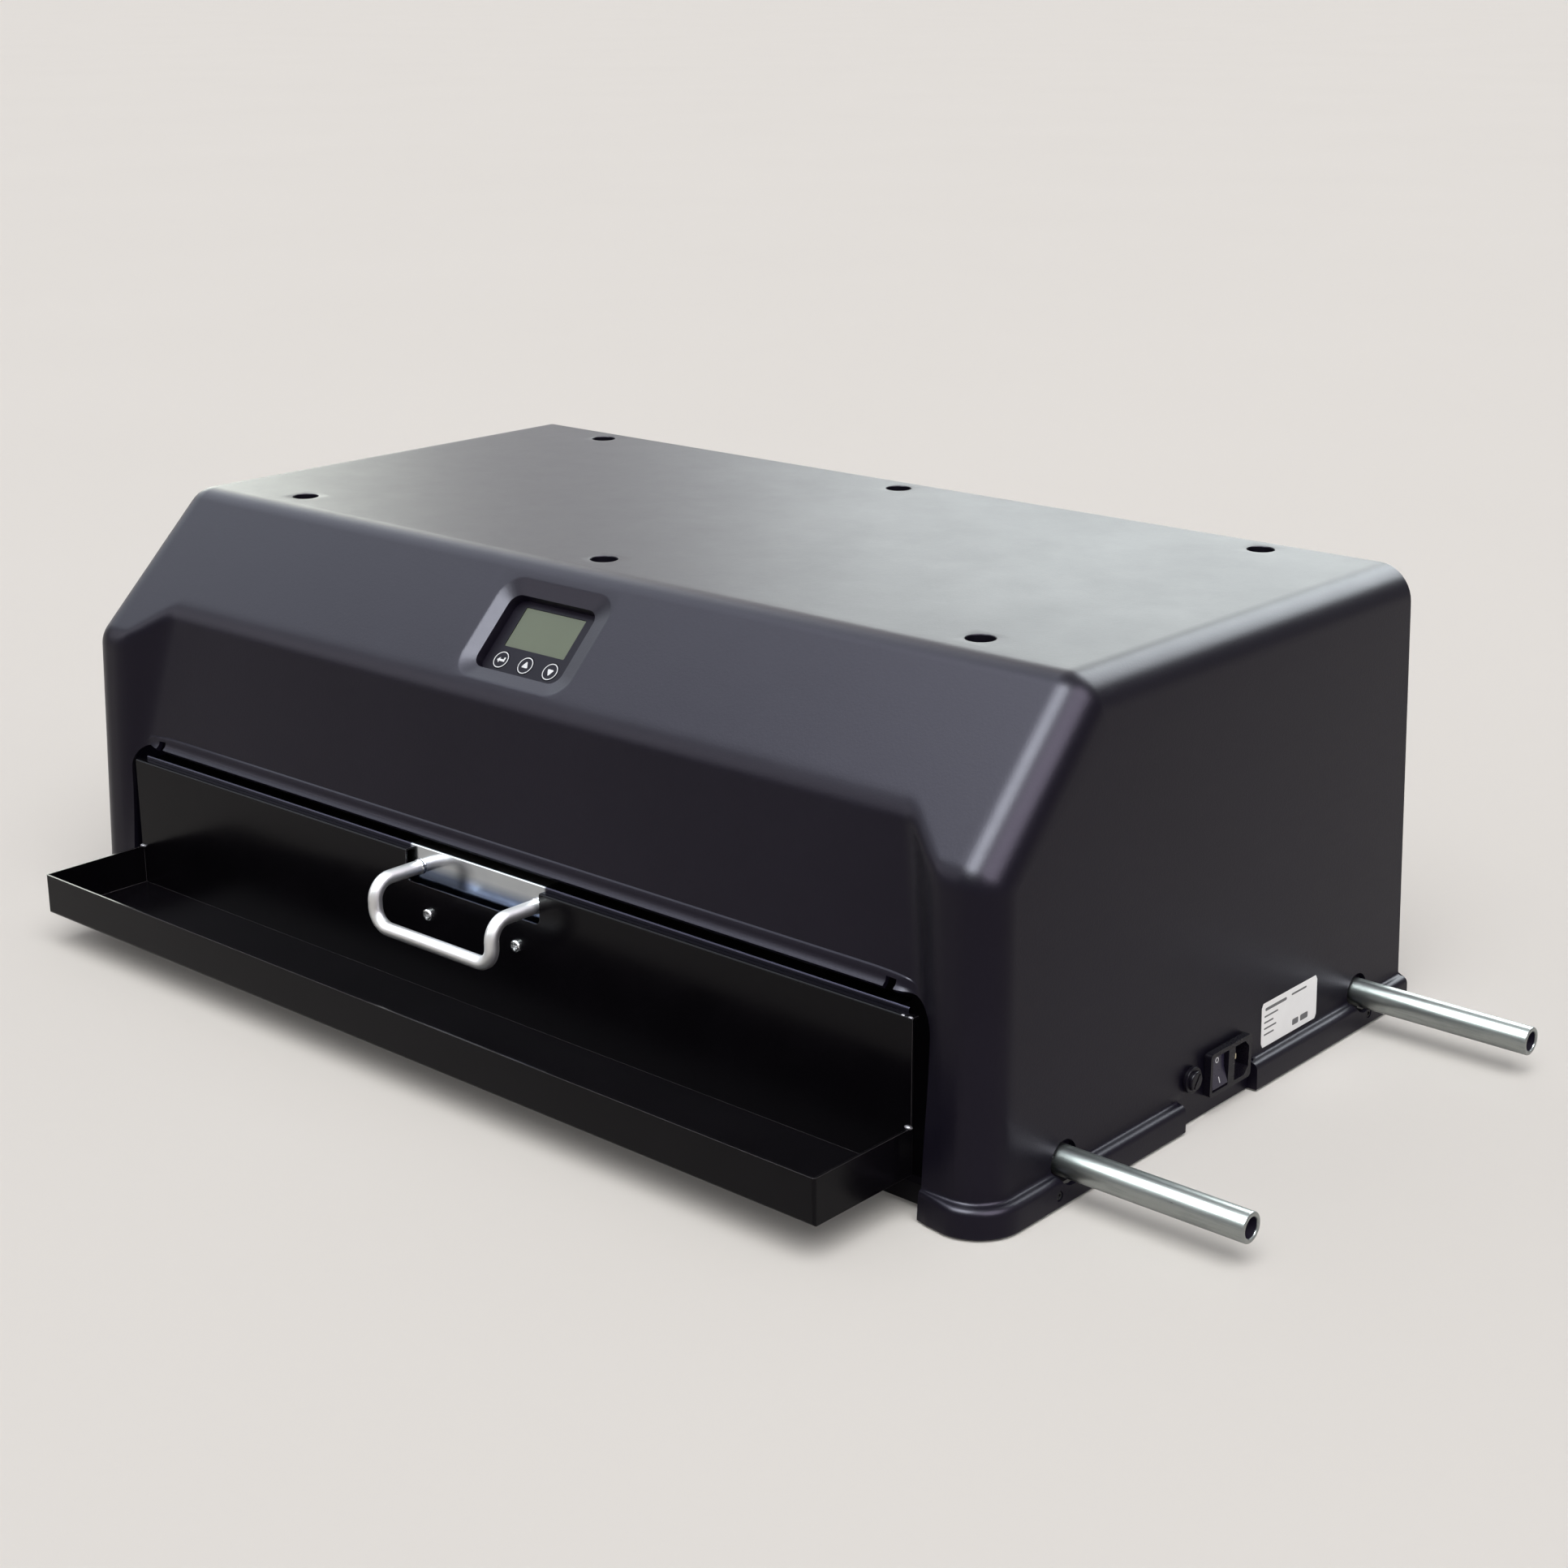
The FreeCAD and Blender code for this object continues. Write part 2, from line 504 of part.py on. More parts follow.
def make_bay():
    x1 = CAVITY_X[1]
    save(box((x1, x1 + 2.5), (SPIT_Y - 42, SPIT_Y + 42), (50, 176)).cut(
        rod(6, (x1 - 1, SPIT_Y, SPIT_Z), (x1 + 5, SPIT_Y, SPIT_Z))), "motor_bracket")
    motor = rod(27, (x1 + 2.5, SPIT_Y, SPIT_Z), (x1 + 32, SPIT_Y, SPIT_Z))
    motor = motor.fuse(rod(18.5, (x1 + 32, SPIT_Y, SPIT_Z), (x1 + 84, SPIT_Y, SPIT_Z)))
    motor = motor.fuse(rod(6, (x1 + 84, SPIT_Y, SPIT_Z), (x1 + 88, SPIT_Y, SPIT_Z)))
    save(motor.cut(rod(4.05, (x1, SPIT_Y, SPIT_Z), (x1 + 17, SPIT_Y, SPIT_Z))), "gear_motor")

    board = box((x1 + 10, x1 + 11.6), (50, 160), (60, 180))
    for y in (56, 154):
        for z in (66, 174):
            board = board.fuse(rod(3, (x1, y, z), (x1 + 10, y, z)))
    # relays, capacitors and a choke: low y, low z, width, height, standing out
    components = ((65, 80, 28, 20, 18), (105, 80, 16, 16, 22), (132, 90, 14, 30, 14),
                  (70, 130, 22, 16, 12), (110, 130, 30, 26, 16))
    for y, z, w, h, d in components:
        board = board.fuse(box((x1 + 11.6, x1 + 11.6 + d), (y, y + w), (z, z + h)))
    save(board.removeSplitter(), "power_board")
    core = box((330, 386), (62, 118), (BASE_Z[1], 52)).cut(box((329, 387), (74, 82), (16, 42))).cut(
        box((329, 387), (98, 106), (16, 42)))
    save([core, box((324, 392), (82.3, 97.7), (16.3, 41.7)).cut(core)], "transformer")
    block = box((330, 400), (-112, -88), (BASE_Z[1], 24))
    for i in range(6):
        block = block.cut(rod(3, (336 + i * 11.6, -100, 16), (336 + i * 11.6, -100, 30)))
    save(block, "terminal_block")

    frame = box((FAN_X - 40, FAN_X + 40), (208, 233), (FAN_Z - 40, FAN_Z + 40))
    frame = frame.cut(rod(38, (FAN_X, 200, FAN_Z), (FAN_X, 240, FAN_Z)))
    frame = frame.fuse(rod(13, (FAN_X, 208, FAN_Z), (FAN_X, 212, FAN_Z)))
    frame = frame.fuse(rod(2, (FAN_X, 212, FAN_Z), (FAN_X, 226, FAN_Z)))
    for i in range(4):
        strut = box((FAN_X + 10, FAN_X + 39), (208, 210.5), (FAN_Z - 2, FAN_Z + 2))
        strut.rotate(Vector(FAN_X, 0, FAN_Z), Vector(0, 1, 0), 45 + 90 * i)
        frame = frame.fuse(strut)
    save(frame.removeSplitter(), "fan_frame")
    wheel = rod(14, (FAN_X, 213, FAN_Z), (FAN_X, 230, FAN_Z))
    for i in range(7):
        blade = box((-1, 1), (-10, 10), (12, 36.4))
        blade.rotate(Vector(0, 0, 0), Vector(0, 0, 1), 48)
        blade.rotate(Vector(0, 0, 0), Vector(0, 1, 0), 360 * i / 7)
        blade.translate(Vector(FAN_X, 221.5, FAN_Z))
        wheel = wheel.fuse(blade)
    wheel = wheel.cut(rod(2.05, (FAN_X, 205, FAN_Z), (FAN_X, 227, FAN_Z)))
    save(wheel.removeSplitter(), "fan_impeller")

    mains = bent_rod(2.5, [(423.6, 22, 30), (404, 22, 30), (404, -62, 44), (366, -100, 44), (366, -100, 24)],
                     [9, 25, 12])
    ribbon = bent_rod(2.5, [(x1 + 30, 120, 156), (x1 + 30, 120, 262), (x1 + 30, -110, 268), (120, -150, 262),
                            (34, -150, 262)], [30, 40, 40])
    save([mains, ribbon], "wiring")


def make_rails():
    for name, y in zip(("front", "rear"), RAIL_Y):
        block = box(GUIDE_X, (y - 14, y + 14), (BASE_Z[1], 42))
        block = block.cut(rod(RAIL_D / 2 + 0.05, (GUIDE_X[0] - 1, y, RAIL_Z), (GUIDE_X[1] + 1, y, RAIL_Z)))
        for screw_y in SIDE_SCREW_Y:
            block = block.cut(rod(1.6, (430, screw_y, SIDE_SCREW_Z), (460, screw_y, SIDE_SCREW_Z)))
        save(block, "rail_guide_" + name)
        rail = tube(RAIL_D / 2, RAIL_BORE / 2, (RAIL_END - RAIL_LENGTH, y, RAIL_Z), (RAIL_END, y, RAIL_Z))
        save(rail, "side_rail_" + name)
    head_x = side_x(SIDE_SCREW_Z) + FLANGE_OUT - 2
    save([aimed(screw(3, 1.6, 1.6, 20, "hex"), (head_x, y, SIDE_SCREW_Z), (1, 0, 0)) for y in SIDE_SCREW_Y],
         "rail_guide_screws")


def make_inlet():
    face = side_x(0) + 0.1
    y, z = INLET_Y, INLET_Z
    w, h = INLET_SIZE

    def block(width, height, radius, x0, x1, cy=y, cz=z):
        shape = rounded_block(width, height, radius, 0, x1 - x0)
        shape.Placement = Placement(Vector(x0, cy, cz), Rotation(Vector(0, 1, 0), Vector(0, 0, 1),
                                                                Vector(1, 0, 0), "ZXY"))
        return shape

    body = block(w, h, 3, face, face + BEZEL_OUT).fuse(block(w - 3.4, h - 3.4, 1.5, face - 27, face))
    body = body.cut(block(ROCKER_W + 1, 25.0, 1, face - 12, face + 10, ROCKER_Y))
    socket = box((face - 13, face + 10), (SOCKET_Y - 8.6, SOCKET_Y + 8.6), (z - 12.3, z + 12.3))
    for side in (-1, 1):
        corner = prism([(face - 14, SOCKET_Y + 8.7, z + side * 12.4),
                        (face - 14, SOCKET_Y + 3.6, z + side * 12.4),
                        (face - 14, SOCKET_Y + 8.7, z + side * 7.3)], (25, 0, 0))
        socket = socket.cut(corner)
    body = body.cut(socket)
    save(body, "inlet_housing")
    pins = [box((face - 13, face - 1), (SOCKET_Y + dy - 1, SOCKET_Y + dy + 1), (z + dz - 2, z + dz + 2))
            for dy, dz in ((-2, -7), (-2, 7), (2, 0))]
    save(pins, "inlet_pins")

    # rocker, with its upper half pressed in at rest
    half, lean = 11.4, math.radians(ROCKER_TILT)
    face_x = 5.0
    profile = [(-5, -half), (-5, half), (face_x - 0.5, half), (face_x - half * math.tan(lean), 0),
               (face_x - 0.5, -half)]
    rocker = prism([(x, -ROCKER_W / 2, dz) for x, dz in profile], (0, ROCKER_W, 0))
    rocker.rotate(Vector(0, 0, 0), Vector(0, 1, 0), -ROCKER_TILT)
    rocker.translate(Vector(face - 1, ROCKER_Y, z))
    save(rocker, "power_rocker")

    holder = rod(9, (face, FUSE_Y, FUSE_Z), (face + 2.6, FUSE_Y, FUSE_Z))
    holder = holder.fuse(rod(7.5, (face - 36, FUSE_Y, FUSE_Z), (face, FUSE_Y, FUSE_Z)))
    save(holder.cut(rod(6.6, (face - 33, FUSE_Y, FUSE_Z), (face + 5, FUSE_Y, FUSE_Z))), "fuse_holder")
    cap = rod(6.52, (face - 8, FUSE_Y, FUSE_Z), (face + 5, FUSE_Y, FUSE_Z))
    rim = edges_where(cap, lambda e: abs(middle_of(e).x - face - 5) < 0.01)
    cap = cap.makeFillet(1.0, rim)
    slot = box((face + 3.2, face + 6), (FUSE_Y - 5.2, FUSE_Y + 5.2), (FUSE_Z - 0.8, FUSE_Z + 0.8))
    slot.rotate(Vector(0, FUSE_Y, FUSE_Z), Vector(1, 0, 0), 55)
    cap = cap.cut(slot).cut(rod(2.6, (face - 10, FUSE_Y, FUSE_Z), (face - 2, FUSE_Y, FUSE_Z)))
    save(cap, "fuse_cap")
    save(rod(2.5, (face - 30, FUSE_Y, FUSE_Z), (face - 2, FUSE_Y, FUSE_Z)), "fuse_cartridge")

    low, high = LABEL_Z
    label = prism([(side_x(low) + 0.02, LABEL_Y[0], low), (side_x(low) + 0.32, LABEL_Y[0], low),
                   (side_x(high) + 0.32, LABEL_Y[0], high), (side_x(high) + 0.02, LABEL_Y[0], high)],
                  (0, LABEL_Y[1] - LABEL_Y[0], 0))
    save(label, "rating_label")


def make_display():
    w, h, r = POCKET_INNER
    floor = -POCKET_DEPTH
    overlay = rounded_block(w - 0.6, h - 0.6, r - 0.3, floor - 3, floor)
    overlay = overlay.fuse(rounded_block(w + 7.5, h + 7.5, r + 3.5, floor - 5, floor - 3))
    window = rounded_block(LCD_SIZE[0], LCD_SIZE[1], 1, floor - 6, floor + 1)
    window.translate(Vector(0, LCD_V, 0))
    overlay = overlay.cut(window)
    for x in KEY_X:
        overlay = overlay.cut(Part.makeCylinder(KEY_R + 0.4, 8, Vector(x, KEY_V, floor - 6)))
    save(on_chamfer(overlay), "display_overlay")
    glass = rounded_block(LCD_SIZE[0] - 0.2, LCD_SIZE[1] - 0.2, 0.9, floor - 5, floor - 0.5)
    glass = glass.fuse(rounded_block(LCD_SIZE[0] + 8, LCD_SIZE[1] + 6, 1, floor - 8, floor - 5))
    glass.translate(Vector(0, LCD_V, 0))
    save(on_chamfer(glass.removeSplitter()), "lcd_module")
    for x, name in zip(KEY_X, ("enter", "up", "down")):
        key = Part.makeCylinder(KEY_R, 2.6, Vector(x, KEY_V, floor - 2.4))
        rim = edges_where(key, lambda e: abs(middle_of(e).z - floor - 0.2) < 0.01)
        key = key.makeFillet(0.3, rim).fuse(Part.makeCylinder(2, 2, Vector(x, KEY_V, floor - 4.2)))
        save(on_chamfer(key), "key_" + name)
    board = rounded_block(88, 66, 2, floor - 12, floor - 10.4)
    for x in KEY_X:
        board = board.fuse(box((x - 3, x + 3), (KEY_V - 3, KEY_V + 3), (floor - 10.4, floor - 5.2)))
    board = board.fuse(box((-30, -8), (2, 18), (floor - 15, floor - 12)))
    board = board.fuse(box((6, 34), (-4, 6), (floor - 18, floor - 12)))
    save(on_chamfer(board.removeSplitter()), "control_board")


def make_drawer():
    t = SHEET
    plate = box((-PLATE_HALF, PLATE_HALF), (PLATE_Y, PLATE_Y + t), PLATE_Z)
    plate = plate.fuse(box((-PLATE_HALF + 8, PLATE_HALF - 8), (PLATE_Y, PLATE_Y + 13),
                           (PLATE_Z[1] - t, PLATE_Z[1])))
    plate = plate.removeSplitter()
    bend = edges_where(plate, lambda e: abs(middle_of(e).y - PLATE_Y) < 0.01
                       and abs(middle_of(e).z - PLATE_Z[1]) < 0.01 and abs(middle_of(e).x) < 1)
    plate = plate.makeFillet(1.4, bend)
    for side in (-1, 1):
        for radius, x, z in ((2.6, HANDLE_HALF, HANDLE_Z[0]), (2.2, *TRAY_SCREW)):
            plate = plate.cut(rod(radius, (side * x, -250, z), (side * x, -230, z)))
    save(plate, "front_plate")

    half, (low, high) = PANEL_HALF, TRAY_Z
    outer = box((-half, half), (TRAY_FRONT_Y, PANEL_Y + t), (low, high))
    front_edges = edges_where(outer, lambda e: middle_of(e).y < TRAY_FRONT_Y + 1
                              and middle_of(e).z < high - 1)
    outer = outer.makeFillet(2.5, front_edges)
    tray = outer.cut(box((-half + t, half - t), (TRAY_FRONT_Y + t, PANEL_Y), (low + t, high + 1)))
    panel = box((-half, half), (PANEL_Y, PANEL_Y + t), (low, PANEL_TOP))
    panel = panel.fuse(box((-half, half), (PANEL_Y, PLATE_Y - 0.3), (PANEL_TOP - t, PANEL_TOP)))
    tray = tray.fuse(panel).removeSplitter()
    bend = edges_where(tray, lambda e: abs(middle_of(e).y - PANEL_Y) < 0.01
                       and abs(middle_of(e).z - PANEL_TOP) < 0.01 and abs(middle_of(e).x) < 1)
    tray = tray.makeFillet(1.4, bend)
    cut = Part.Face(round_rect(2 * CUTOUT_HALF, 100, 5, 0)).extrude(Vector(0, 0, 20))
    cut.Placement = Placement(Vector(0, -239, CUTOUT_LOW + 50), Rotation(Vector(1, 0, 0), 90))
    tray = tray.cut(cut)
    screws, spacers = [], []
    for x, z in ((-TRAY_SCREW[0], TRAY_SCREW[1]), TRAY_SCREW):
        tray = tray.cut(rod(2.2, (x, -250, z), (x, -242, z)))
        screws.append(aimed(screw(4.4, 3, 2.1, 11, "cross"), (x, PANEL_Y, z), (0, -1, 0)))
        spacers.append(tube(6, 2.3, (x, PANEL_Y + t, z), (x, PLATE_Y, z)))
    save(tray, "catch_tray")
    save(screws, "tray_screws")
    save(spacers, "tray_spacers")

    h, (foot, grip) = HANDLE_HALF, HANDLE_Z
    route = [(-h, PLATE_Y, foot), (-h, HANDLE_Y, foot), (-h, HANDLE_Y, grip), (h, HANDLE_Y, grip),
             (h, HANDLE_Y, foot), (h, PLATE_Y, foot)]
    handle = bent_rod(HANDLE_D / 2, route, [14, 14, 14, 14])
    for side in (-1, 1):
        handle = handle.cut(rod(2.4, (side * h, PLATE_Y - 14, foot), (side * h, PLATE_Y + 1, foot)))
    save(handle, "pull_handle")
    save([aimed(screw(4.5, 3, 2.4, 14, "cross"), (x, PLATE_Y + t, foot), (0, 1, 0)) for x in (-h, h)],
         "handle_screws")

    left, right = CAVITY_X[0] + 18, CAVITY_X[1] - 18
    pan = box((left, right), (PLATE_Y + t, 150), (22, 54))
    upright = edges_where(pan, lambda e: abs(middle_of(e).z - 38) < 1)
    pan = pan.makeFillet(12, upright)
    hollow = box((left + 1.2, right - 1.2), (PLATE_Y + t + 1.2, 148.8), (23.2, 60))
    upright = edges_where(hollow, lambda e: abs(middle_of(e).z - 41.6) < 1)
    save(pan.cut(hollow.makeFillet(10.8, upright)), "drip_pan")
    gap = 2.1                   # between the runners and the slide rails
    for name, a, b in (("left", CAVITY_X[0] + LINER_T + gap, left),
                       ("right", right, CAVITY_X[1] - LINER_T - gap)):
        runner = box((a, b), (PLATE_Y + t, 165), (SLIDE_Z[0] + gap, SLIDE_Z[1] - gap))
        save(runner, "slide_runner_" + name)


make_hood()
make_chassis()
make_cavity()
make_spit()
make_bay()
make_rails()
make_inlet()
make_display()
make_drawer()
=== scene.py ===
"""Looks of the bench-top drawer oven: hood, drawer front, display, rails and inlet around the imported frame.

Frame: +X right along the front, +Y back, +Z up, metres.  Sizes in the tables below are in millimetres
and are turned into metres where the meshes are made.
"""

import json
import math

import bmesh
import bpy
from mathutils import Matrix, Vector

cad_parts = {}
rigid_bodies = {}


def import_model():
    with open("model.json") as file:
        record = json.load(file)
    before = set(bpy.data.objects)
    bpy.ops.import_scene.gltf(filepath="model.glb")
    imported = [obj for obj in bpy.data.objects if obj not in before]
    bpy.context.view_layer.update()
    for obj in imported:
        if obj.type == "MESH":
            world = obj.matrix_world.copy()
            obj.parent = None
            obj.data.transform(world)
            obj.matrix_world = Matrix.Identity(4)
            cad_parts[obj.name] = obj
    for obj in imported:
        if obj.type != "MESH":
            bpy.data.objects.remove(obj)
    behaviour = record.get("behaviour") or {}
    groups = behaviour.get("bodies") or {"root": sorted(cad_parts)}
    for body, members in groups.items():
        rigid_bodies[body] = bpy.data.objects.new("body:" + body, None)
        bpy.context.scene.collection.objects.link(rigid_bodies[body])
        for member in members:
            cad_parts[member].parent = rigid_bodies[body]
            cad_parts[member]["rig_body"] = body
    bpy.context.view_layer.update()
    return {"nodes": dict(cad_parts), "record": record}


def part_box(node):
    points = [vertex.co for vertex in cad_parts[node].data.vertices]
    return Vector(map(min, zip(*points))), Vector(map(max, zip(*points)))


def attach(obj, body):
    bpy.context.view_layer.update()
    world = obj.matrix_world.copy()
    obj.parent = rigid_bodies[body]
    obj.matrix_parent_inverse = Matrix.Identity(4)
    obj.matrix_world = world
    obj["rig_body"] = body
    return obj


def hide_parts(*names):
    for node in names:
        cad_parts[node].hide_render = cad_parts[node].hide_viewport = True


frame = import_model()
NODES = frame["nodes"]
MM = 0.001

# ------ driving dimensions (mm)
TOP_Z = 325.0  # flat top of the hood
ROUND = 24.8  # radius of the large edges
HALF_TOP = 417.5  # half width of the flat top
DRAFT = 0.028  # outward slope of the walls, per unit of height
CHAMFER_Y = -141.5  # where the 45 degree face leaves the top
PILLAR = (-243.0, 223.5)  # y, z where the 45 degree face ends on the pillars
BACK_Y = 239.8  # back wall at the top
RECESS_BELT = (-219.0, 247.5)  # y, z where the 45 degree face ends between the pillars
RECESS_LOW = (-234.0, 150.0)
RECESS_HALF = 366.0
PILLAR_HALF = 402.0
RECESS_REACH = (-150.0, 416.0)  # the recess has no effect behind this y or beyond this x
BELT_BLEND = 7.0  # reach of the soft edges round the recess
WALL_BLEND = 5.0
EDGE_X = 420.0  # x that stands for the side edge when a height depends on x
SIDE_X = 450.0  # about where the side walls stand at their foot
BLEND_Z = 165.0  # where the rows of the upright front turn to follow the crease
MOUTH_Z = 140.0
MOUTH_CORNER = 22.0
CREASE = (9.5, 340.0, 388.0)  # height over the mouth, where it starts to fall, where it ends
CREASE_LEAST = 1.2
LIP_OUT = 4.2
LIP_FADE = (372.0, 16.0)  # where the lip's reach starts to fade, and over what distance
LIP_NOTCH = (363.0, 371.0)
LIP_SHAPE = [(0.0, 0.0), (0.07, 0.26), (0.14, 0.31), (0.40, 0.35), (0.66, 0.40), (0.78, 0.52), (0.90, 0.80),
             (1.0, 1.0)]  # share of the way down the lip, share of its reach
LEG_Z = (108.0, 95.0, 80.0, 65.0, 50.0, 40.0, 32.0, 27.0)  # rows down the legs
BASE_Z = 1.5
FLANGE_TOP = 20.7
FLANGE_OUT = 7.5
FLANGE_ROUND = 5.0
FLANGE_FILLET = 2.6
FLANGE_FADE = 12.0  # distance over which the flange grows beside the mouth
NOTCH_Y = (-43.5, 43.0)  # gap in the right-hand flange, under the inlet
NOTCH_END = 0.3  # length of each end of that gap
WALL = 3.6
REAR_OPENING = (400.0, 40.0, 285.0, 12.0)  # half width, low z, high z, corner
WELL_X = (-332.8, 0.0, 332.8)
WELL_Y = (-109.4, 219.5)
WELL_BLOCK = 16.0  # half size of the patch of the mesh that holds a well
WELL_R = 10.0
WELL_HOLE_R = 2.75
WELL_DEPTH = 8.0
POCKET_S = 56.0  # pocket centre, down the 45 degree face from its top edge
POCKET_BLOCK = (60.0, 45.0)  # half size of the patch that holds the pocket
POCKET_OUTER = (108.0, 81.0, 17.0)  # width, height, corner radius
POCKET_INNER = (84.0, 60.0, 9.0)
POCKET_OUTER_AT = (3.5, -1.5)  # centres, from the pocket's own
POCKET_INNER_AT = (2.0, -2.0)
POCKET_BEVEL = 3.8  # depth of the sloping part
POCKET_DEPTH = 11.0  # depth of the overlay
RAILS = ("side_rail_front", "side_rail_rear")
KEY_X = (-24.6, 0.0, 24.6)
KEY_V = -20.4
KEY_R = 6.9
KEY_FACE = 0.19  # height of the keys' printed face over the overlay
RAIL_HOLE_R = 13.5
INLET_BEZEL = 3.0  # part of the inlet's height and width that covers the hood
FUSE_HOLE_R = 7.9
SCREW_SINK_R = 3.4
SCREW_HOLE_R = 1.8
SIDE_SCREW = ((-183.0, 193.3), 9.5)
RAIL_BORE_R = 6.75
HANDLE_R = 5.0
HANDLE_BEND = 14.0
PANEL_GAP = 5.8  # from the bright plate forward to the tray's panel
TRAY_RIM_Z = 56.7
CUTOUT_HALF = 68.5
PLATE_REFLECTION_Z = (114.0, 122.0)  # heights between which the painted reflection on the plate turns from dark bluish to bright
ROCKER_PIVOT_X = 449.806
ROCKER_RIDGE = (2.94, 0.52)  # x from the pivot, z from the inlet's centre
ROCKER_ENDS = {"rocker_mark_off": (2.45, 12.0), "rocker_mark_on": (6.41, -10.45)}
ROCKER_MARK_LIFT = 0.12
LABEL_THICK = 0.28
EDGE_ANGLE = 28.0  # edges sharper than this many degrees look hard

SLOPE = 1 / math.sqrt(2)
FACE_UP, FACE_OUT = Vector((0, SLOPE, SLOPE)), Vector((0, -SLOPE, SLOPE))  # of the 45 degree face
POCKET_AT = Vector((0, CHAMFER_Y, TOP_Z)) - FACE_UP * POCKET_S


# ------ small helpers
def box_mm(node):
    low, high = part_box(node)
    return low / MM, high / MM


def centre_mm(node):
    low, high = box_mm(node)
    return (low + high) / 2


def new_object(name, data):
    made = bpy.data.objects.new(name, data)
    bpy.context.scene.collection.objects.link(made)
    return made


def link(name, mesh, node, slot, finish=None, replaces=()):
    """Puts a mesh in the scene, on the body of a CAD node, with the finish of its slot, and hides the nodes
    it replaces.
    """
    piece = new_object(name, mesh)
    mesh.materials.clear()
    mesh.materials.append(MATERIALS[finish or slot])
    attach(piece, NODES[node]["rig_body"])
    if replaces:
        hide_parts(*replaces)
    return piece


def smooth_by_angle(bm, degrees):
    limit = math.radians(degrees)
    for face in bm.faces:
        face.smooth = True
    for edge in bm.edges:
        if len(edge.link_faces) == 2:
            edge.smooth = edge.calc_face_angle(0.0) < limit


def to_mesh(bm, name, scale=MM, smooth=30.0):
    """Ends a mesh: scales it, shades it smooth up to an angle in degrees, and frees its bmesh."""
    bmesh.ops.scale(bm, vec=(scale,) * 3, verts=bm.verts)
    smooth_by_angle(bm, smooth)
    mesh = bpy.data.meshes.new(name)
    bm.to_mesh(mesh)
    bm.free()
    return mesh


def apply_modifiers(piece):
    """Bakes the modifiers of a piece into its mesh."""
    bpy.context.view_layer.update()
    graph = bpy.context.evaluated_depsgraph_get()
    mesh = bpy.data.meshes.new_from_object(piece.evaluated_get(graph))
    piece.modifiers.clear()
    old, piece.data = piece.data, mesh
    bpy.data.meshes.remove(old)


def smooth_max(a, b, reach):
    overlap = max(reach - abs(a - b), 0.0)
    return max(a, b) + overlap * overlap / (4 * reach)


def ease(t):
    t = min(max(t, 0.0), 1.0)
    return t * t * (3 - 2 * t)


def steps(low, high, size):
    """Values from low up to, but not including, high, at most size apart."""
    count = max(1, math.ceil(abs(high - low) / size - 1e-9))
    return [low + (high - low) * i / count for i in range(count)]


def through(marks, sizes):
    """Values through every mark; each span has its own greatest distance."""
    values = []
    for low, high, size in zip(marks, marks[1:], sizes):
        values += steps(low, high, size)
    return values + [marks[-1]]


# ------ materials
def new_material(name):
    material = bpy.data.materials.new(name)
    material.use_nodes = True
    tree = material.node_tree
    shader = tree.nodes["Principled BSDF"]
    return material, tree, shader


def add(tree, kind, inputs=None, **settings):
    node = tree.nodes.new(kind)
    for key, value in settings.items():
        setattr(node, key, value)
    for key, value in (inputs or {}).items():
        if isinstance(value, bpy.types.NodeSocket):
            tree.links.new(value, node.inputs[key])
        else:
            node.inputs[key].default_value = value
    return node


def ramp(tree, fac, low, high, start, end):
    """Colour that goes from low to high while fac goes from start to end."""
    node = add(tree, "ShaderNodeValToRGB", {"Fac": fac})
    first, last = node.color_ramp.elements
    first.position, last.position = start, end
    first.color, last.color = (*low, 1.0), (*high, 1.0)
    return node.outputs["Color"]


def spread(tree, fac, low, high, start=0.3, end=0.7):
    """Number that goes from low to high while fac goes from start to end."""
    node = add(tree, "ShaderNodeMapRange", {"Value": fac, "From Min": start, "From Max": end,
                                            "To Min": low, "To Max": high})
    return node.outputs["Result"]


def place(tree, stretch=(1, 1, 1)):
    coordinates = add(tree, "ShaderNodeTexCoord").outputs["Object"]
    return add(tree, "ShaderNodeMapping", {"Vector": coordinates, "Scale": stretch}).outputs["Vector"]


def noise(tree, vector, scale, detail=3.0, rough=0.5):
    node = add(tree, "ShaderNodeTexNoise",
               {"Vector": vector, "Scale": scale, "Detail": detail, "Roughness": rough})
    return node.outputs["Fac"]


def total(tree, first, second):
    return add(tree, "ShaderNodeMath", {0: first, 1: second}, operation="ADD").outputs[0]


def relief(tree, shader, height, strength, distance):
    bump = add(tree, "ShaderNodeBump", {"Height": height, "Strength": strength, "Distance": distance})
    tree.links.new(bump.outputs["Normal"], shader.inputs["Normal"])


def surface(name, low, high, rough, metallic=0.0, mottle=9.0, grain=900.0, bump=0.15, depth=0.0001,
            stretch=(1, 1, 1), specular=0.5, coat=0.0):
    """General finish: mottled colour, uneven gloss and a fine grain; stretch draws the grain out."""
    material, tree, shader = new_material(name)
    vector = place(tree)
    drawn = place(tree, stretch)
    patches = noise(tree, vector, mottle, 5.0, 0.6)
    fine = noise(tree, drawn, grain, 3.0)
    tree.links.new(ramp(tree, patches, low, high, 0.3, 0.7), shader.inputs["Base Color"])
    tree.links.new(spread(tree, total(tree, fine, patches), *rough, 0.75, 1.25), shader.inputs["Roughness"])
    relief(tree, shader, fine, bump, depth)
    shader.inputs["Metallic"].default_value = metallic
    shader.inputs["Specular IOR Level"].default_value = specular
    shader.inputs["Coat Weight"].default_value = coat
    shader.inputs["Coat Roughness"].default_value = 0.08
    return material


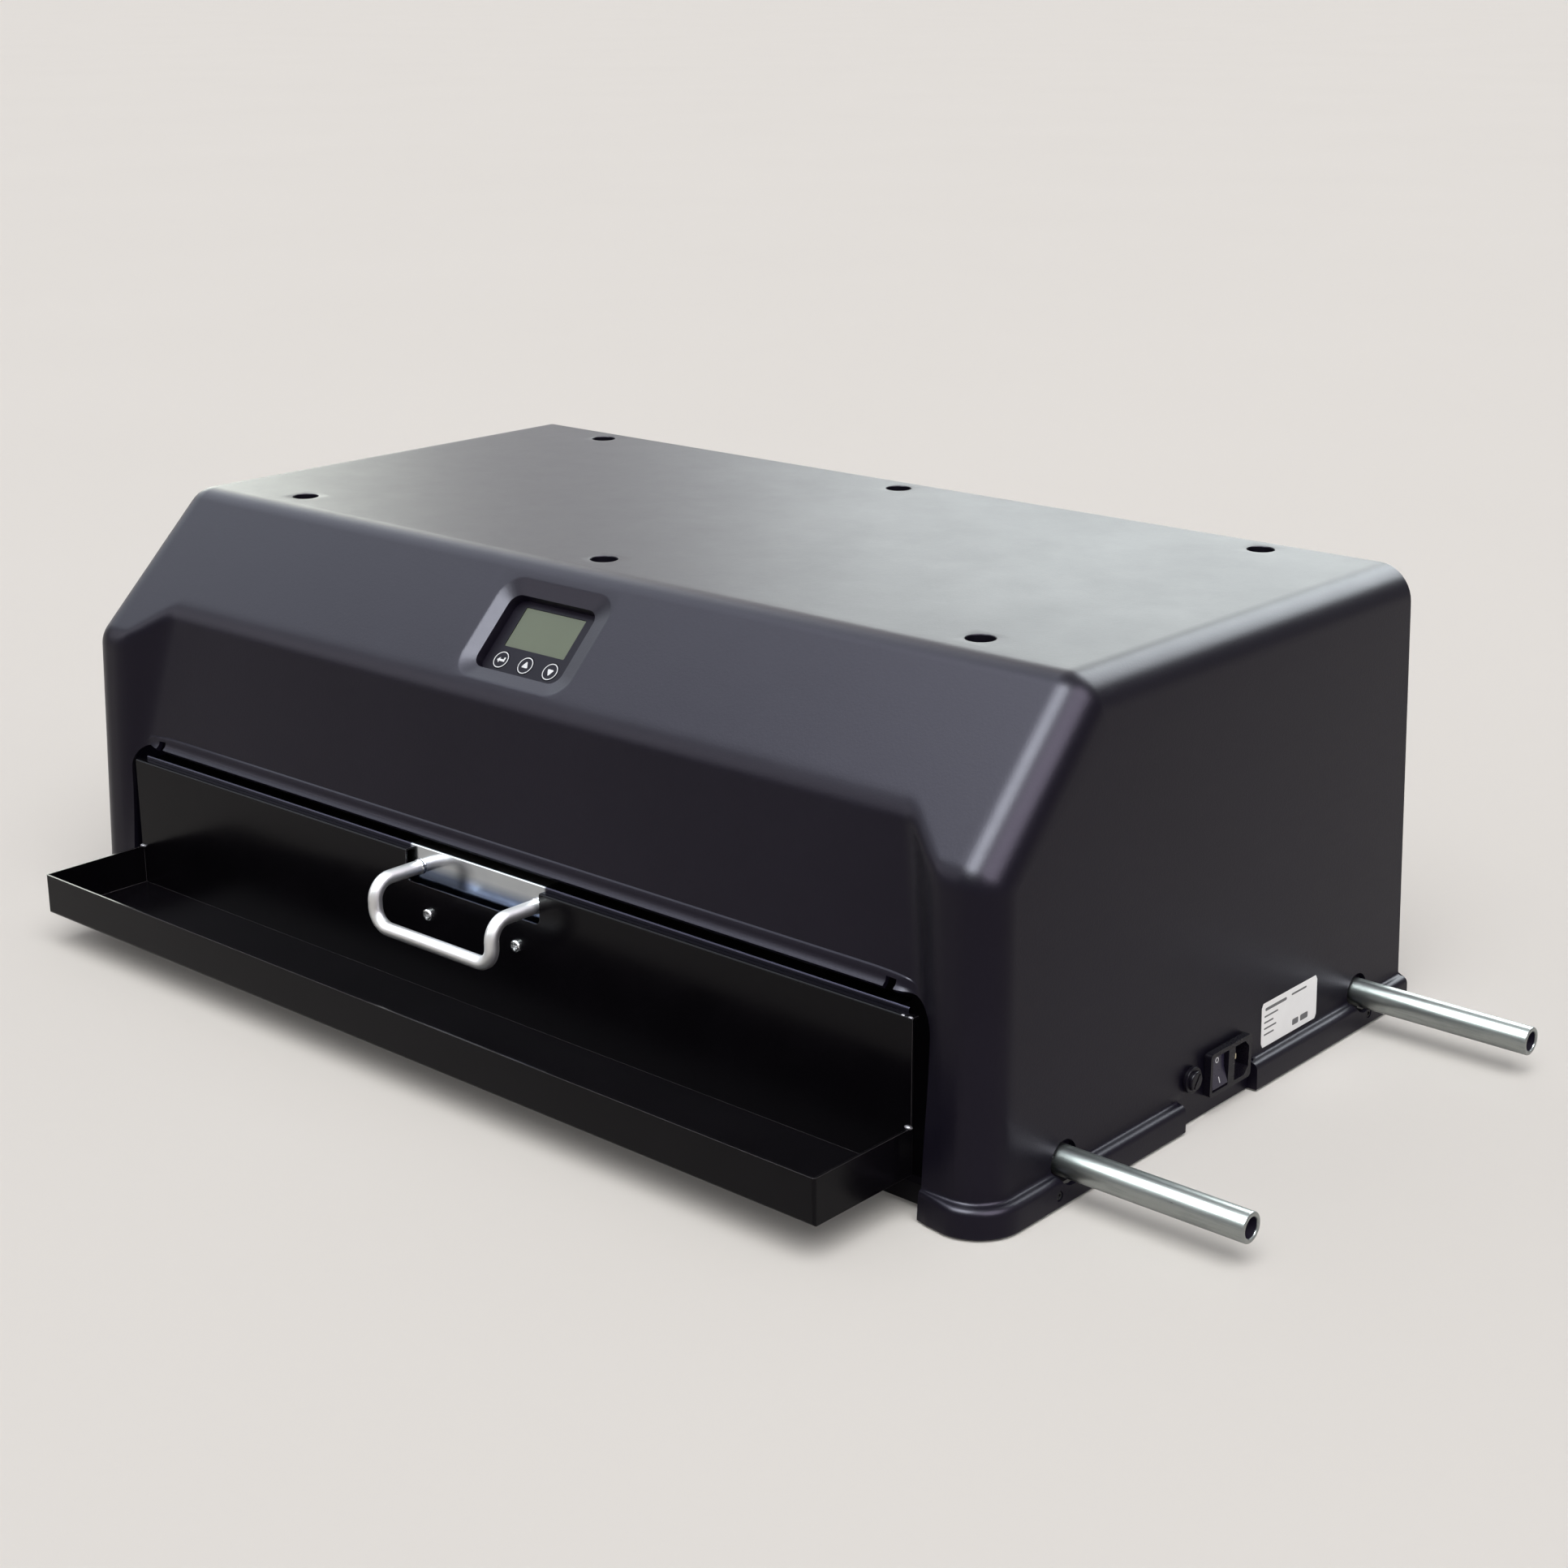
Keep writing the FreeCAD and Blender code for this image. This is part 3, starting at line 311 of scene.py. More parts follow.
def moulded_hood():
    """Charcoal moulding: pebbled leather grain of about a millimetre, soft cloudy wear and a few rubs."""
    material, tree, shader = new_material("hood_grained_plastic")
    vector = place(tree)
    warp = add(tree, "ShaderNodeTexNoise", {"Vector": vector, "Scale": 260.0, "Detail": 2.0}).outputs["Color"]
    bent = add(tree, "ShaderNodeMix", {"Factor": 0.0025, "A": vector, "B": warp}, data_type="VECTOR")
    cells = add(tree, "ShaderNodeTexVoronoi",
                {"Vector": bent.outputs["Result"], "Scale": 620.0, "Smoothness": 0.6},
                feature="SMOOTH_F1").outputs["Distance"]
    pores = noise(tree, vector, 2400.0, 2.0)
    clouds = noise(tree, vector, 5.5, 6.0, 0.62)
    rubs = noise(tree, place(tree, (1.0, 1.0, 5.0)), 26.0, 7.0, 0.7)
    tree.links.new(ramp(tree, clouds, HOOD_DARK, HOOD_LIGHT, 0.3, 0.72), shader.inputs["Base Color"])
    gloss = total(tree, clouds, rubs)
    tree.links.new(spread(tree, gloss, *HOOD_ROUGH, 0.75, 1.25), shader.inputs["Roughness"])
    relief(tree, shader, total(tree, cells, pores), 0.22, 0.00012)
    shader.inputs["Specular IOR Level"].default_value = HOOD_SPECULAR
    shader.inputs["Specular Tint"].default_value = (0.94, 0.87, 1.0, 1.0)
    return material


def tinned_tube():
    """Bright zinc tube, drawn along X, with long streaks and dull patches."""
    material, tree, shader = new_material("rail_zinc")
    long_streaks = noise(tree, place(tree, (0.06, 1.0, 1.0)), 420.0, 6.0, 0.65)
    patches = noise(tree, place(tree, (0.5, 1.0, 1.0)), 38.0, 6.0, 0.7)
    mixed = total(tree, long_streaks, patches)
    tree.links.new(ramp(tree, mixed, (0.20, 0.215, 0.212), (0.29, 0.305, 0.295), 0.7, 1.3),
                   shader.inputs["Base Color"])
    tree.links.new(spread(tree, mixed, 0.34, 0.27, 0.75, 1.25), shader.inputs["Roughness"])
    relief(tree, shader, long_streaks, 0.05, 0.0001)
    shader.inputs["Metallic"].default_value = 1.0
    return material


def polished_plate():
    """Bright sheet with faint smears and fine scratches; a painted reflection makes it dark bluish low down,
    and painted shade makes it near black where the drawer panel covers it.
    """
    material, tree, shader = new_material("plate_polished_steel")
    at = add(tree, "ShaderNodeSeparateXYZ", {"Vector": add(tree, "ShaderNodeTexCoord").outputs["Object"]})
    smears = noise(tree, place(tree), 34.0, 7.0, 0.7)
    scratches = noise(tree, place(tree, (0.08, 1.0, 1.0)), 1500.0, 3.0)
    upward = spread(tree, at.outputs["Z"], 0.0, 1.0, PLATE_REFLECTION_Z[0] * MM, PLATE_REFLECTION_Z[1] * MM)
    # painted reflection: dark bluish low on the plate, bright grey higher up
    painted_reflection = ramp(tree, upward, (0.13, 0.16, 0.23), (0.46, 0.48, 0.49), 0.0, 1.0)
    wear = ramp(tree, smears, (0.86, 0.87, 0.90), (1.0, 1.0, 1.0), 0.3, 0.7)
    bright = add(tree, "ShaderNodeMix", {"Factor": 1.0, "A": painted_reflection, "B": wear}, data_type="RGBA",
                 blend_type="MULTIPLY")
    aside = add(tree, "ShaderNodeMath", {0: at.outputs["X"]}, operation="ABSOLUTE").outputs[0]
    # painted shade: near black outside the cut-out, where the drawer panel covers the plate
    panel_painted_shade = spread(tree, aside, 0.0, 1.0, (CUTOUT_HALF - 1.0) * MM, (CUTOUT_HALF + 1.0) * MM)
    colour = add(tree, "ShaderNodeMix",
                 {"Factor": panel_painted_shade, "A": bright.outputs["Result"], "B": (0.028, 0.027, 0.038, 1.0)},
                 data_type="RGBA")
    tree.links.new(colour.outputs["Result"], shader.inputs["Base Color"])
    tree.links.new(spread(tree, smears, 0.10, 0.22), shader.inputs["Roughness"])
    relief(tree, shader, scratches, 0.08, 0.00005)
    shader.inputs["Metallic"].default_value = 1.0
    return material


HOOD_DARK, HOOD_LIGHT = (0.0040, 0.0031, 0.0078), (0.0056, 0.0045, 0.0100)
HOOD_ROUGH = (0.335, 0.375)
HOOD_SPECULAR = 0.15
# slot or finish: name, darkest and lightest colour, range of roughness, other inputs of surface
FINISHES = {
    "black_powder_coat": ("gloss_powder_coat", (0.0022, 0.0019, 0.0028), (0.004, 0.0035, 0.0048),
        (0.16, 0.26), dict(grain=700.0, bump=0.06, specular=0.09)),
    "satin_aluminium": ("handle_satin_aluminium", (0.5, 0.485, 0.48), (0.58, 0.57, 0.56), (0.36, 0.46),
        dict(metallic=1.0, grain=1800.0, bump=0.12)),
    "galvanised_steel": ("galvanised_sheet", (0.36, 0.38, 0.39), (0.52, 0.54, 0.55), (0.32, 0.48),
        dict(metallic=1.0, mottle=70.0, grain=500.0)),
    "stainless_steel": ("brushed_stainless", (0.5, 0.5, 0.49), (0.62, 0.61, 0.59), (0.24, 0.36),
        dict(metallic=1.0, stretch=(0.04, 1, 1), grain=1400.0)),
    "heater_sheath": ("heater_sheath_oxide", (0.05, 0.047, 0.042), (0.1, 0.085, 0.07), (0.45, 0.6),
        dict(metallic=0.6, mottle=45.0)),
    "black_enamel": ("pan_enamel", (0.008, 0.008, 0.009), (0.014, 0.014, 0.016), (0.1, 0.2),
        dict(coat=0.5, grain=500.0, bump=0.05)),
    "bright_screws": ("screw_bright_zinc", (0.6, 0.6, 0.6), (0.76, 0.76, 0.76), (0.16, 0.28),
        dict(metallic=1.0, mottle=160.0)),
    "black_screws": ("screw_black_oxide", (0.012, 0.012, 0.013), (0.022, 0.022, 0.024), (0.3, 0.45),
        dict(metallic=0.7, mottle=200.0)),
    "rubber": ("foot_rubber", (0.018, 0.018, 0.018), (0.028, 0.028, 0.028), (0.7, 0.85), dict(mottle=60.0)),
    "mineral_wool": ("mineral_wool_fibre", (0.34, 0.29, 0.17), (0.56, 0.5, 0.34), (0.85, 0.95),
        dict(mottle=60.0, grain=420.0, bump=0.9, depth=0.001)),
    "black_plastic": ("inlet_black_plastic", (0.0045, 0.0036, 0.0072), (0.0075, 0.0062, 0.011), (0.25, 0.35),
        dict(grain=1500.0, specular=0.14)),
    "overlay_film": ("overlay_satin_film", (0.008, 0.0062, 0.0125), (0.0105, 0.0084, 0.016), (0.32, 0.4),
        dict(grain=2600.0, bump=0.05, specular=0.06)),
    "lcd_glass": ("lcd_olive_glass", (0.102, 0.121, 0.07), (0.112, 0.133, 0.078), (0.14, 0.2),
        dict(grain=300.0, bump=0.0, specular=0.2)),
    "circuit_board": ("board_green_mask", (0.012, 0.075, 0.03), (0.02, 0.11, 0.045), (0.25, 0.4),
        dict(mottle=120.0)),
    "motor_metal": ("motor_grey_paint", (0.16, 0.165, 0.17), (0.24, 0.245, 0.25), (0.32, 0.45),
        dict(metallic=0.6, mottle=60.0)),
    "brass_pins": ("pin_brass", (0.72, 0.62, 0.42), (0.86, 0.77, 0.56), (0.2, 0.3),
        dict(metallic=0.35, mottle=200.0)),
    "fuse_glass": ("fuse_glass_tube", (0.55, 0.58, 0.56), (0.7, 0.72, 0.7), (0.05, 0.12), dict(coat=0.8)),
    "white_label": ("label_white_film", (0.87, 0.87, 0.88), (0.93, 0.93, 0.94), (0.3, 0.42),
        dict(mottle=30.0, bump=0.03)),
    "cable_sheath": ("cable_grey_sheath", (0.03, 0.03, 0.032), (0.045, 0.045, 0.048), (0.45, 0.6), dict()),
    "rocker_plastic": ("rocker_blue_black", (0.018, 0.015, 0.032), (0.026, 0.022, 0.044), (0.25, 0.35),
        dict(grain=1500.0, specular=0.35)),
    # painted highlight: lighter, glossier colour on the catch tray's bevelled edges
    "edge_painted_highlight": ("powder_coat_painted_edge_highlight", (0.055, 0.047, 0.05), (0.105, 0.09, 0.094), (0.3, 0.45),
        dict(mottle=22.0, grain=900.0, bump=0.05, specular=0.4)),
    "tack_metal": ("tack_burnt_metal", (0.1, 0.092, 0.1), (0.2, 0.19, 0.2), (0.38, 0.52),
        dict(metallic=0.7, mottle=300.0)),
    # painted shade: near black for the inside of the rail tubes
    "bore_shade_finish": ("rail_bore_painted_shade", (0.006, 0.004, 0.012), (0.01, 0.007, 0.018), (0.6, 0.75),
        dict(specular=0.1)),
    "ink_white": ("mark_white_ink", (0.62, 0.62, 0.64), (0.72, 0.72, 0.74), (0.4, 0.5), dict(bump=0.02)),
    "ink_grey": ("mark_grey_ink", (0.1, 0.1, 0.11), (0.16, 0.16, 0.17), (0.4, 0.5), dict(bump=0.02)),
}
MATERIALS = {name: surface(*values[:4], **values[4]) for name, values in FINISHES.items()}
MATERIALS.update(hood_plastic=moulded_hood(), polished_steel=polished_plate(), zinc_tube=tinned_tube())


# ------ hood
def side_x(z):
    return HALF_TOP + ROUND + DRAFT * (TOP_Z - ROUND - z)


def pillar_y(z):
    return PILLAR[0] - DRAFT * (PILLAR[1] - z)


def back_y(z):
    return BACK_Y + DRAFT * (TOP_Z - z)


def recess_y(x, z):
    """Depth of the recess between the pillars."""
    lean = (RECESS_BELT[0] - RECESS_LOW[0]) / (RECESS_BELT[1] - RECESS_LOW[1])
    face = RECESS_LOW[0] + lean * (z - RECESS_LOW[1])
    slope = (RECESS_BELT[0] - PILLAR[0]) / (PILLAR_HALF - RECESS_HALF)
    wall = RECESS_BELT[0] - slope * (abs(x) - RECESS_HALF)
    return -smooth_max(-face, -wall, WALL_BLEND)


def mouth_z(x):
    """Upper edge of the mouth, with rounded corners."""
    over = min(max(abs(x) - (PILLAR_HALF - MOUTH_CORNER), 0.0), MOUTH_CORNER)
    return MOUTH_Z - MOUTH_CORNER + math.sqrt(MOUTH_CORNER ** 2 - over ** 2)


def crease_z(x):
    """Line where the lip leaves the face above it."""
    height, start, end = CREASE
    share = min(max((abs(x) - start) / (end - start), 0.0), 1.0)
    return mouth_z(x) + CREASE_LEAST + (height - CREASE_LEAST) * (1 - share ** 3) ** (1 / 3)


def hood_columns():
    """(x, turn) of each column from left to right; turn is the angle round the side edge."""
    marks = [0.0, WELL_BLOCK, POCKET_BLOCK[0], WELL_X[2] - WELL_BLOCK, WELL_X[2] + WELL_BLOCK, *LIP_NOTCH,
             PILLAR_HALF - MOUTH_CORNER]
    right = [(x, 0.0) for x in through(marks, (4.0, 3.2, 12.0, 4.0, 3.0, 3.0, 3.0))]
    right += [(PILLAR_HALF - MOUTH_CORNER + MOUTH_CORNER * math.sin(math.radians(a)), 0.0)
              for a in range(9, 91, 9)]
    right += [(x, 0.0) for x in (405.0, 408.5, 412.0, 415.0)]
    right += [(None, math.radians(a)) for a in range(0, 91, 9)]
    left = [(None if x is None else -x, -turn) for x, turn in reversed(right[1:])]
    return left, right


def flange_profile():
    """(distance out, height) down the flange, from the wall to the underside."""
    points = [(FLANGE_FILLET * (1 - math.cos(a)), FLANGE_TOP + FLANGE_FILLET * (1 - math.sin(a)))
              for a in (math.radians(22.5 * i) for i in range(5))]
    points += [(FLANGE_OUT - FLANGE_ROUND * (1 - math.sin(a)), FLANGE_TOP - FLANGE_ROUND * (1 - math.cos(a)))
               for a in (math.radians(15 * i) for i in range(7))]
    return points + [(FLANGE_OUT, 8.0), (FLANGE_OUT, BASE_Z + 0.8), (FLANGE_OUT - 0.5, BASE_Z)]


def chamfer_start():
    """Centre (y, z) of the round edge above the 45 degree face, and the edge's tangent length."""
    tangent = ROUND * math.tan(math.radians(22.5))
    return CHAMFER_Y + tangent, TOP_Z - ROUND, tangent


def hood_rows():
    """Rows from the back edge over the top and down the front, as (kind, values)."""
    core_y, core_z, tangent = chamfer_start()
    marks = [BACK_Y, WELL_Y[1] + WELL_BLOCK, WELL_Y[1] - WELL_BLOCK, NOTCH_Y[1] + NOTCH_END, NOTCH_Y[1],
             NOTCH_Y[0] + NOTCH_END, NOTCH_Y[0], WELL_Y[0] + WELL_BLOCK, WELL_Y[0] - WELL_BLOCK, core_y]
    sizes = (12.0, 4.0, 12.0, 12.0, 12.0, 12.0, 12.0, 4.0, 12.0)
    rows = [("core", (y, core_z, 0.0)) for y in through(marks, sizes)]
    rows += [("core", (core_y, core_z, math.radians(a))) for a in range(5, 45, 5)]
    # 45 degree face
    low_z = (PILLAR[0] - DRAFT * PILLAR[1] + ROUND - core_y + core_z) / (1 - DRAFT)
    length = (core_z - low_z) * math.sqrt(2)
    marks = [0.0, POCKET_S - POCKET_BLOCK[1] - tangent, POCKET_S + POCKET_BLOCK[1] - tangent, length]
    for t in through(marks, (4.0, 4.0, 2.4)):
        down = t * SLOPE
        rows.append(("core", (core_y - down, core_z - down, math.radians(45))))
    last = (core_y - length * SLOPE, core_z - length * SLOPE)
    end = 90 - math.degrees(math.atan(DRAFT))
    rows += [("core", (*last, math.radians(45 + (end - 45) * i / 9))) for i in range(1, 10)]
    # upright front
    top = last[1] + ROUND * math.sin(math.atan(DRAFT))
    rows += [("front", (z, 0.0)) for z in through([top, BLEND_Z], [5.0])[1:]]
    rows += [("blend", share) for share in (0.3, 0.6, 0.85)]
    rows += [("lip", pair) for pair in LIP_SHAPE]
    rows += [("leg", (0.0, z)) for z in LEG_Z]
    rows += [("leg", pair) for pair in flange_profile()]
    return rows


def row_height(kind, value, x):
    """Height of an upright row at x."""
    if kind == "front":
        return value[0]
    if kind == "blend":
        return BLEND_Z + (crease_z(x) - BLEND_Z) * value
    if kind == "lip":
        return crease_z(x) + (mouth_z(x) - crease_z(x)) * value[0]
    return value[1]


def flange_share(x, y):
    """How far the flange stands out here, from 0 to 1."""
    if x > EDGE_X and NOTCH_Y[0] < y - NOTCH_END / 2 < NOTCH_Y[1]:
        return 0.0
    return 0.5 + 0.5 * ease((abs(x) - PILLAR_HALF) / FLANGE_FADE)


def hood_point(column, kind, value):
    """Point of the outer surface where a column meets a row."""
    x, turn = column
    side, turn = math.copysign(1.0, turn), abs(turn)
    if kind == "core":
        cy, cz, lean = value
        ny, nz, radius = -math.sin(lean), math.cos(lean), ROUND
    else:
        outer = x if x is not None else EDGE_X
        cz = row_height(kind, value, outer)
        share = flange_share(outer, PILLAR[0]) if x is not None else 1.0
        radius = ROUND + (value[0] * share if kind == "leg" else 0.0)
        cy, ny, nz = pillar_y(cz) + ROUND, -1.0, 0.0
    y = cy + radius * math.cos(turn) * ny
    z = cz + radius * math.cos(turn) * nz
    if x is None:
        x = side * (side_x(z) - ROUND + radius * math.sin(turn))
    if kind == "core" and value[0] == BACK_Y:
        y = back_y(z)
    if y < RECESS_REACH[0] and abs(x) < RECESS_REACH[1]:
        y = smooth_max(y, recess_y(x, z), BELT_BLEND)
    if kind == "lip":
        y -= LIP_OUT * value[1] * (1 - ease((abs(x) - LIP_FADE[0]) / LIP_FADE[1]))
    return (x, y, z)


def ring_points(width, height, radius, count_per_quadrant):
    """Points round a rounded rectangle; each quadrant starts on an axis, with its own number of steps."""
    w, h = width / 2, height / 2
    points = []
    for quadrant in range(4):
        along_first = (h if quadrant % 2 == 0 else w) - radius
        along_second = (w if quadrant % 2 == 0 else h) - radius
        arc = radius * math.pi / 2
        length = along_first + arc + along_second
        count = count_per_quadrant[quadrant]
        for i in range(count):
            d = length * i / count
            if d <= along_first:
                a, b = along_second + radius, d
            elif d <= along_first + arc:
                angle = (d - along_first) / radius if radius else 0.0
                a, b = along_second + radius * math.cos(angle), along_first + radius * math.sin(angle)
            else:
                a, b = along_second - (d - along_first - arc), along_first + radius
            turn = quadrant * math.pi / 2
            c, s = round(math.cos(turn)), round(math.sin(turn))
            points.append((a * c - b * s, a * s + b * c))
    return points


def patch_boundary(grid, columns, rows):
    """Vertices round a block of the grid, anticlockwise from outside."""
    (c0, c1), (r0, r1) = columns, rows
    return ([grid[c1][r] for r in range(r1, r0, -1)] + [grid[c][r0] for c in range(c1, c0, -1)]
            + [grid[c0][r] for r in range(r0, r1)] + [grid[c][r1] for c in range(c0, c1)])


def fill_patch(bm, grid, block):
    """Replaces a block of the grid by rings; loops are (width, height, corner, depth, across, up)."""
    columns, rows, middle, across, up, out, loops = block
    boundary = patch_boundary(grid, columns, rows)
    local = [((v.co - middle).dot(across), (v.co - middle).dot(up)) for v in boundary]

    def nearest_to(axis):
        """Index of the boundary vertex nearest to a half axis."""
        def miss(i):
            a, b = local[i]
            off_axis = abs(a) if axis[0] == 0 else abs(b)
            return off_axis + (1e3 if a * axis[0] + b * axis[1] < 0 else 0)
        return min(range(len(local)), key=miss)
    start = nearest_to((1, 0))
    boundary = boundary[start:] + boundary[:start]
    local = local[start:] + local[:start]
    cuts = [0] + [nearest_to(axis) for axis in ((0, 1), (-1, 0), (0, -1))] + [len(local)]
    counts = [b - a for a, b in zip(cuts, cuts[1:])]
    previous = boundary
    for width, height, corner, depth, aside, above in loops:
        points = ring_points(width, height, corner, counts)
        at = middle + across * aside + up * above
        ring = [bm.verts.new(at + across * a + up * b - out * depth) for a, b in points]
        bridge(bm, previous, ring)
        previous = ring


def nearest_on_opening(x, z):
    """Nearest point of the rear opening's rounded outline."""
    half, low, high, corner = REAR_OPENING
    middle = (low + high) / 2
    px, pz = min(abs(x), side_x(z)), z - middle
    qx, qz = half - corner, (high - low) / 2 - corner
    dx, dz = max(px - qx, 0.0), max(abs(pz) - qz, 0.0)
    if dx == 0 and dz == 0:
        dz = 1.0
    size = math.hypot(dx, dz)
    ox, oz = min(px, qx) + corner * dx / size, min(abs(pz), qz) + corner * dz / size
    return math.copysign(ox, x), middle + math.copysign(oz, pz)


def hood_grid(bm, rows):
    """Vertices of the band that runs over the top and down the front, as columns of rows."""
    left, right = hood_columns()
    grid = []
    for half, side in ((left, -1.0), (right, 1.0)):
        for x, turn in half:
            between = x is not None and abs(x) < PILLAR_HALF - 0.01
            column = (x, 0.0 if x is not None else math.copysign(max(abs(turn), 1e-9), side))
            grid.append([None if kind == "leg" and between else bm.verts.new(hood_point(column, kind, value))
                         for kind, value in rows])
    return grid


def well_loops():
    """Rings of a screw well, from its edge down to the screw's hole."""
    steps_down = ((WELL_R + 0.9, 0.0), (WELL_R + 0.3, 0.12), (WELL_R, 0.6), (WELL_R, WELL_DEPTH - 0.6),
                  (WELL_R - 0.6, WELL_DEPTH), (WELL_HOLE_R, WELL_DEPTH), (WELL_HOLE_R, WELL_DEPTH + 2))
    return [(2 * r, 2 * r, r, depth, 0.0, 0.0) for r, depth in steps_down]


def pocket_loops():
    """Rings of the display pocket, from its soft edge down the slope and the wall."""
    def ring_at(share, depth, grow=0.0):
        width, height, corner, aside, above = (
            outer * (1 - share) + inner * share
            for outer, inner in zip(POCKET_OUTER + POCKET_OUTER_AT, POCKET_INNER + POCKET_INNER_AT))
        return (width + grow, height + grow, corner + grow / 2, depth, aside, above)
    loops = [ring_at(0.0, 0.0, 4.0), ring_at(0.0, 0.1, 2.0)]
    loops += [ring_at(share, 0.4 + (POCKET_BEVEL - 0.4) * share) for share in (0.0, 0.1, 0.5, 0.9, 0.97)]
    return loops + [ring_at(1.0, POCKET_BEVEL + 0.6), ring_at(1.0, POCKET_DEPTH + 2.6)]


def hood_blocks(grid, rows):
    """Blocks of the grid that become wells or the pocket, each with what fill_patch needs."""
    xs = [column[0].co.x for column in grid]
    core = [(i, value) for i, (kind, value) in enumerate(rows) if kind == "core"]

    def columns_at(low, high):
        return tuple(min(range(len(xs)), key=lambda i: abs(xs[i] - x)) for x in (low, high))

    def rows_at(first, last, lean):
        level = [(i, value[0]) for i, value in core if abs(value[2] - lean) < 1e-6]
        return tuple(min(level, key=lambda row: abs(row[1] - y))[0] for y in (first, last))
    across = Vector((1, 0, 0))
    blocks = []
    for x in WELL_X:
        for y in WELL_Y:
            blocks.append((columns_at(x - WELL_BLOCK, x + WELL_BLOCK),
                           rows_at(y + WELL_BLOCK, y - WELL_BLOCK, 0.0),
                           Vector((x, y, TOP_Z)), across, Vector((0, 1, 0)), Vector((0, 0, 1)), well_loops()))
    core_y, _, tangent = chamfer_start()
    ends = [core_y - (POCKET_S + reach - tangent) * SLOPE for reach in (-POCKET_BLOCK[1], POCKET_BLOCK[1])]
    blocks.append((columns_at(-POCKET_BLOCK[0], POCKET_BLOCK[0]), rows_at(*ends, math.radians(45)),
                   POCKET_AT, across, FACE_UP, FACE_OUT, pocket_loops()))
    return blocks


def add_band(bm, grid, rows, blocks):
    """Faces of the band, without the blocks, the mouth and the two notches in the lip."""
    def in_block(c, r):
        return any(cols[0] <= c < cols[1] and lines[0] <= r < lines[1] for cols, lines, *_ in blocks)

    def in_notch(c, r):
        kind, value = rows[r]
        a, b = sorted(abs(column[0].co.x) for column in grid[c:c + 2])
        low = kind == "lip" and value[0] >= LIP_SHAPE[3][0]
        return low and a > LIP_NOTCH[0] - 0.1 and b < LIP_NOTCH[1] + 0.1

    for c in range(len(grid) - 1):
        for r in range(len(rows) - 1):
            corners = (grid[c][r], grid[c][r + 1], grid[c + 1][r + 1], grid[c + 1][r])
            if None not in corners and not in_block(c, r) and not in_notch(c, r):
                bm.faces.new(corners)
    for block in blocks:
        fill_patch(bm, grid, block)


def side_wall_line(bm, rows, side, cy, cz, low_core, head):
    """Vertices down a side wall at one depth, from the band's edge to the foot."""
    heights = [(cz + (low_core - cz) * k / 4, 0.0) for k in range(1, 5)]
    for kind, value in rows:
        if kind != "core":
            extra = value[0] * flange_share(side * SIDE_X, cy) if kind == "leg" else 0.0
            heights.append((row_height(kind, value, EDGE_X), extra))
    return [head] + [bm.verts.new((side * (side_x(z) + extra), back_y(z) if cy == BACK_Y else cy, z))
                     for z, extra in heights]


def add_side_walls(bm, grid, rows):
    """Walls under the band's two edges; gives back the rearmost line of each."""
    core = [(i, value) for i, (kind, value) in enumerate(rows) if kind == "core"]
    upright = [i for i, (kind, _) in enumerate(rows) if kind != "core"]
    last, (_, low_core, _) = core[-1]
    rear_lines = []
    for edge, side in ((grid[-1], 1.0), (grid[0], -1.0)):
        depths = [core[0]]
        for i, value in core:
            if abs(value[0] - depths[-1][1][0]) >= 1e-4:
                depths.append((i, value))
        walls = [side_wall_line(bm, rows, side, cy, cz, low_core, edge[i]) for i, (cy, cz, _) in depths[:-1]]
        walls.append([edge[last]] * 5 + [edge[i] for i in upright])
        for a, b in zip(walls, walls[1:]):
            for k in range(len(a) - 1):
                face = list(dict.fromkeys((a[k], a[k + 1], b[k + 1], b[k])))
                if len(face) > 2:
                    bm.faces.new(face if side < 0 else face[::-1])
        rear_lines.append(walls[0])
    return rear_lines


def add_back(bm, grid, rear_lines):
    """Flat back between the outer edge and the rear opening."""
    right_wall, left_wall = rear_lines
    loop = list(reversed(right_wall)) + [column[0] for column in grid[-2:0:-1]] + left_wall
    loop += [bm.verts.new((x, back_y(BASE_Z), BASE_Z)) for x in through([-440.0, 440.0], [30.0])]
    inner = []
    for v in loop:
        x, z = nearest_on_opening(v.co.x, v.co.z)
        inner.append(bm.verts.new((x, back_y(z), z)))
    bridge(bm, loop, inner)


def build_hood():
    """Outer skin of the hood as one mesh."""
    bm = bmesh.new()
    rows = hood_rows()
    grid = hood_grid(bm, rows)
    add_band(bm, grid, rows, hood_blocks(grid, rows))
    add_back(bm, grid, add_side_walls(bm, grid, rows))
    bmesh.ops.remove_doubles(bm, verts=bm.verts, dist=0.02)
    bmesh.ops.dissolve_degenerate(bm, dist=0.01, edges=bm.edges)
    bmesh.ops.recalc_face_normals(bm, faces=bm.faces)
    highest = max(bm.faces, key=lambda f: f.calc_center_median().z)
    if highest.normal.z < 0:
        bmesh.ops.reverse_faces(bm, faces=bm.faces)
    return to_mesh(bm, "hood_shell")


def cutter(name, location, size=None, radius=None, length=60.0):
    """Box of a size, or a rod along X, that is cut out of the hood."""
    bm = bmesh.new()
    if size:
        bmesh.ops.create_cube(bm, size=1.0)
        bmesh.ops.scale(bm, vec=size, verts=bm.verts)
    else:
        bmesh.ops.create_cone(bm, cap_ends=True, segments=72, radius1=radius, radius2=radius, depth=length)
        bmesh.ops.rotate(bm, verts=bm.verts, cent=(0, 0, 0), matrix=Matrix.Rotation(math.pi / 2, 3, "Y"))
    bmesh.ops.translate(bm, vec=location, verts=bm.verts)
    return new_object(name, to_mesh(bm, name))


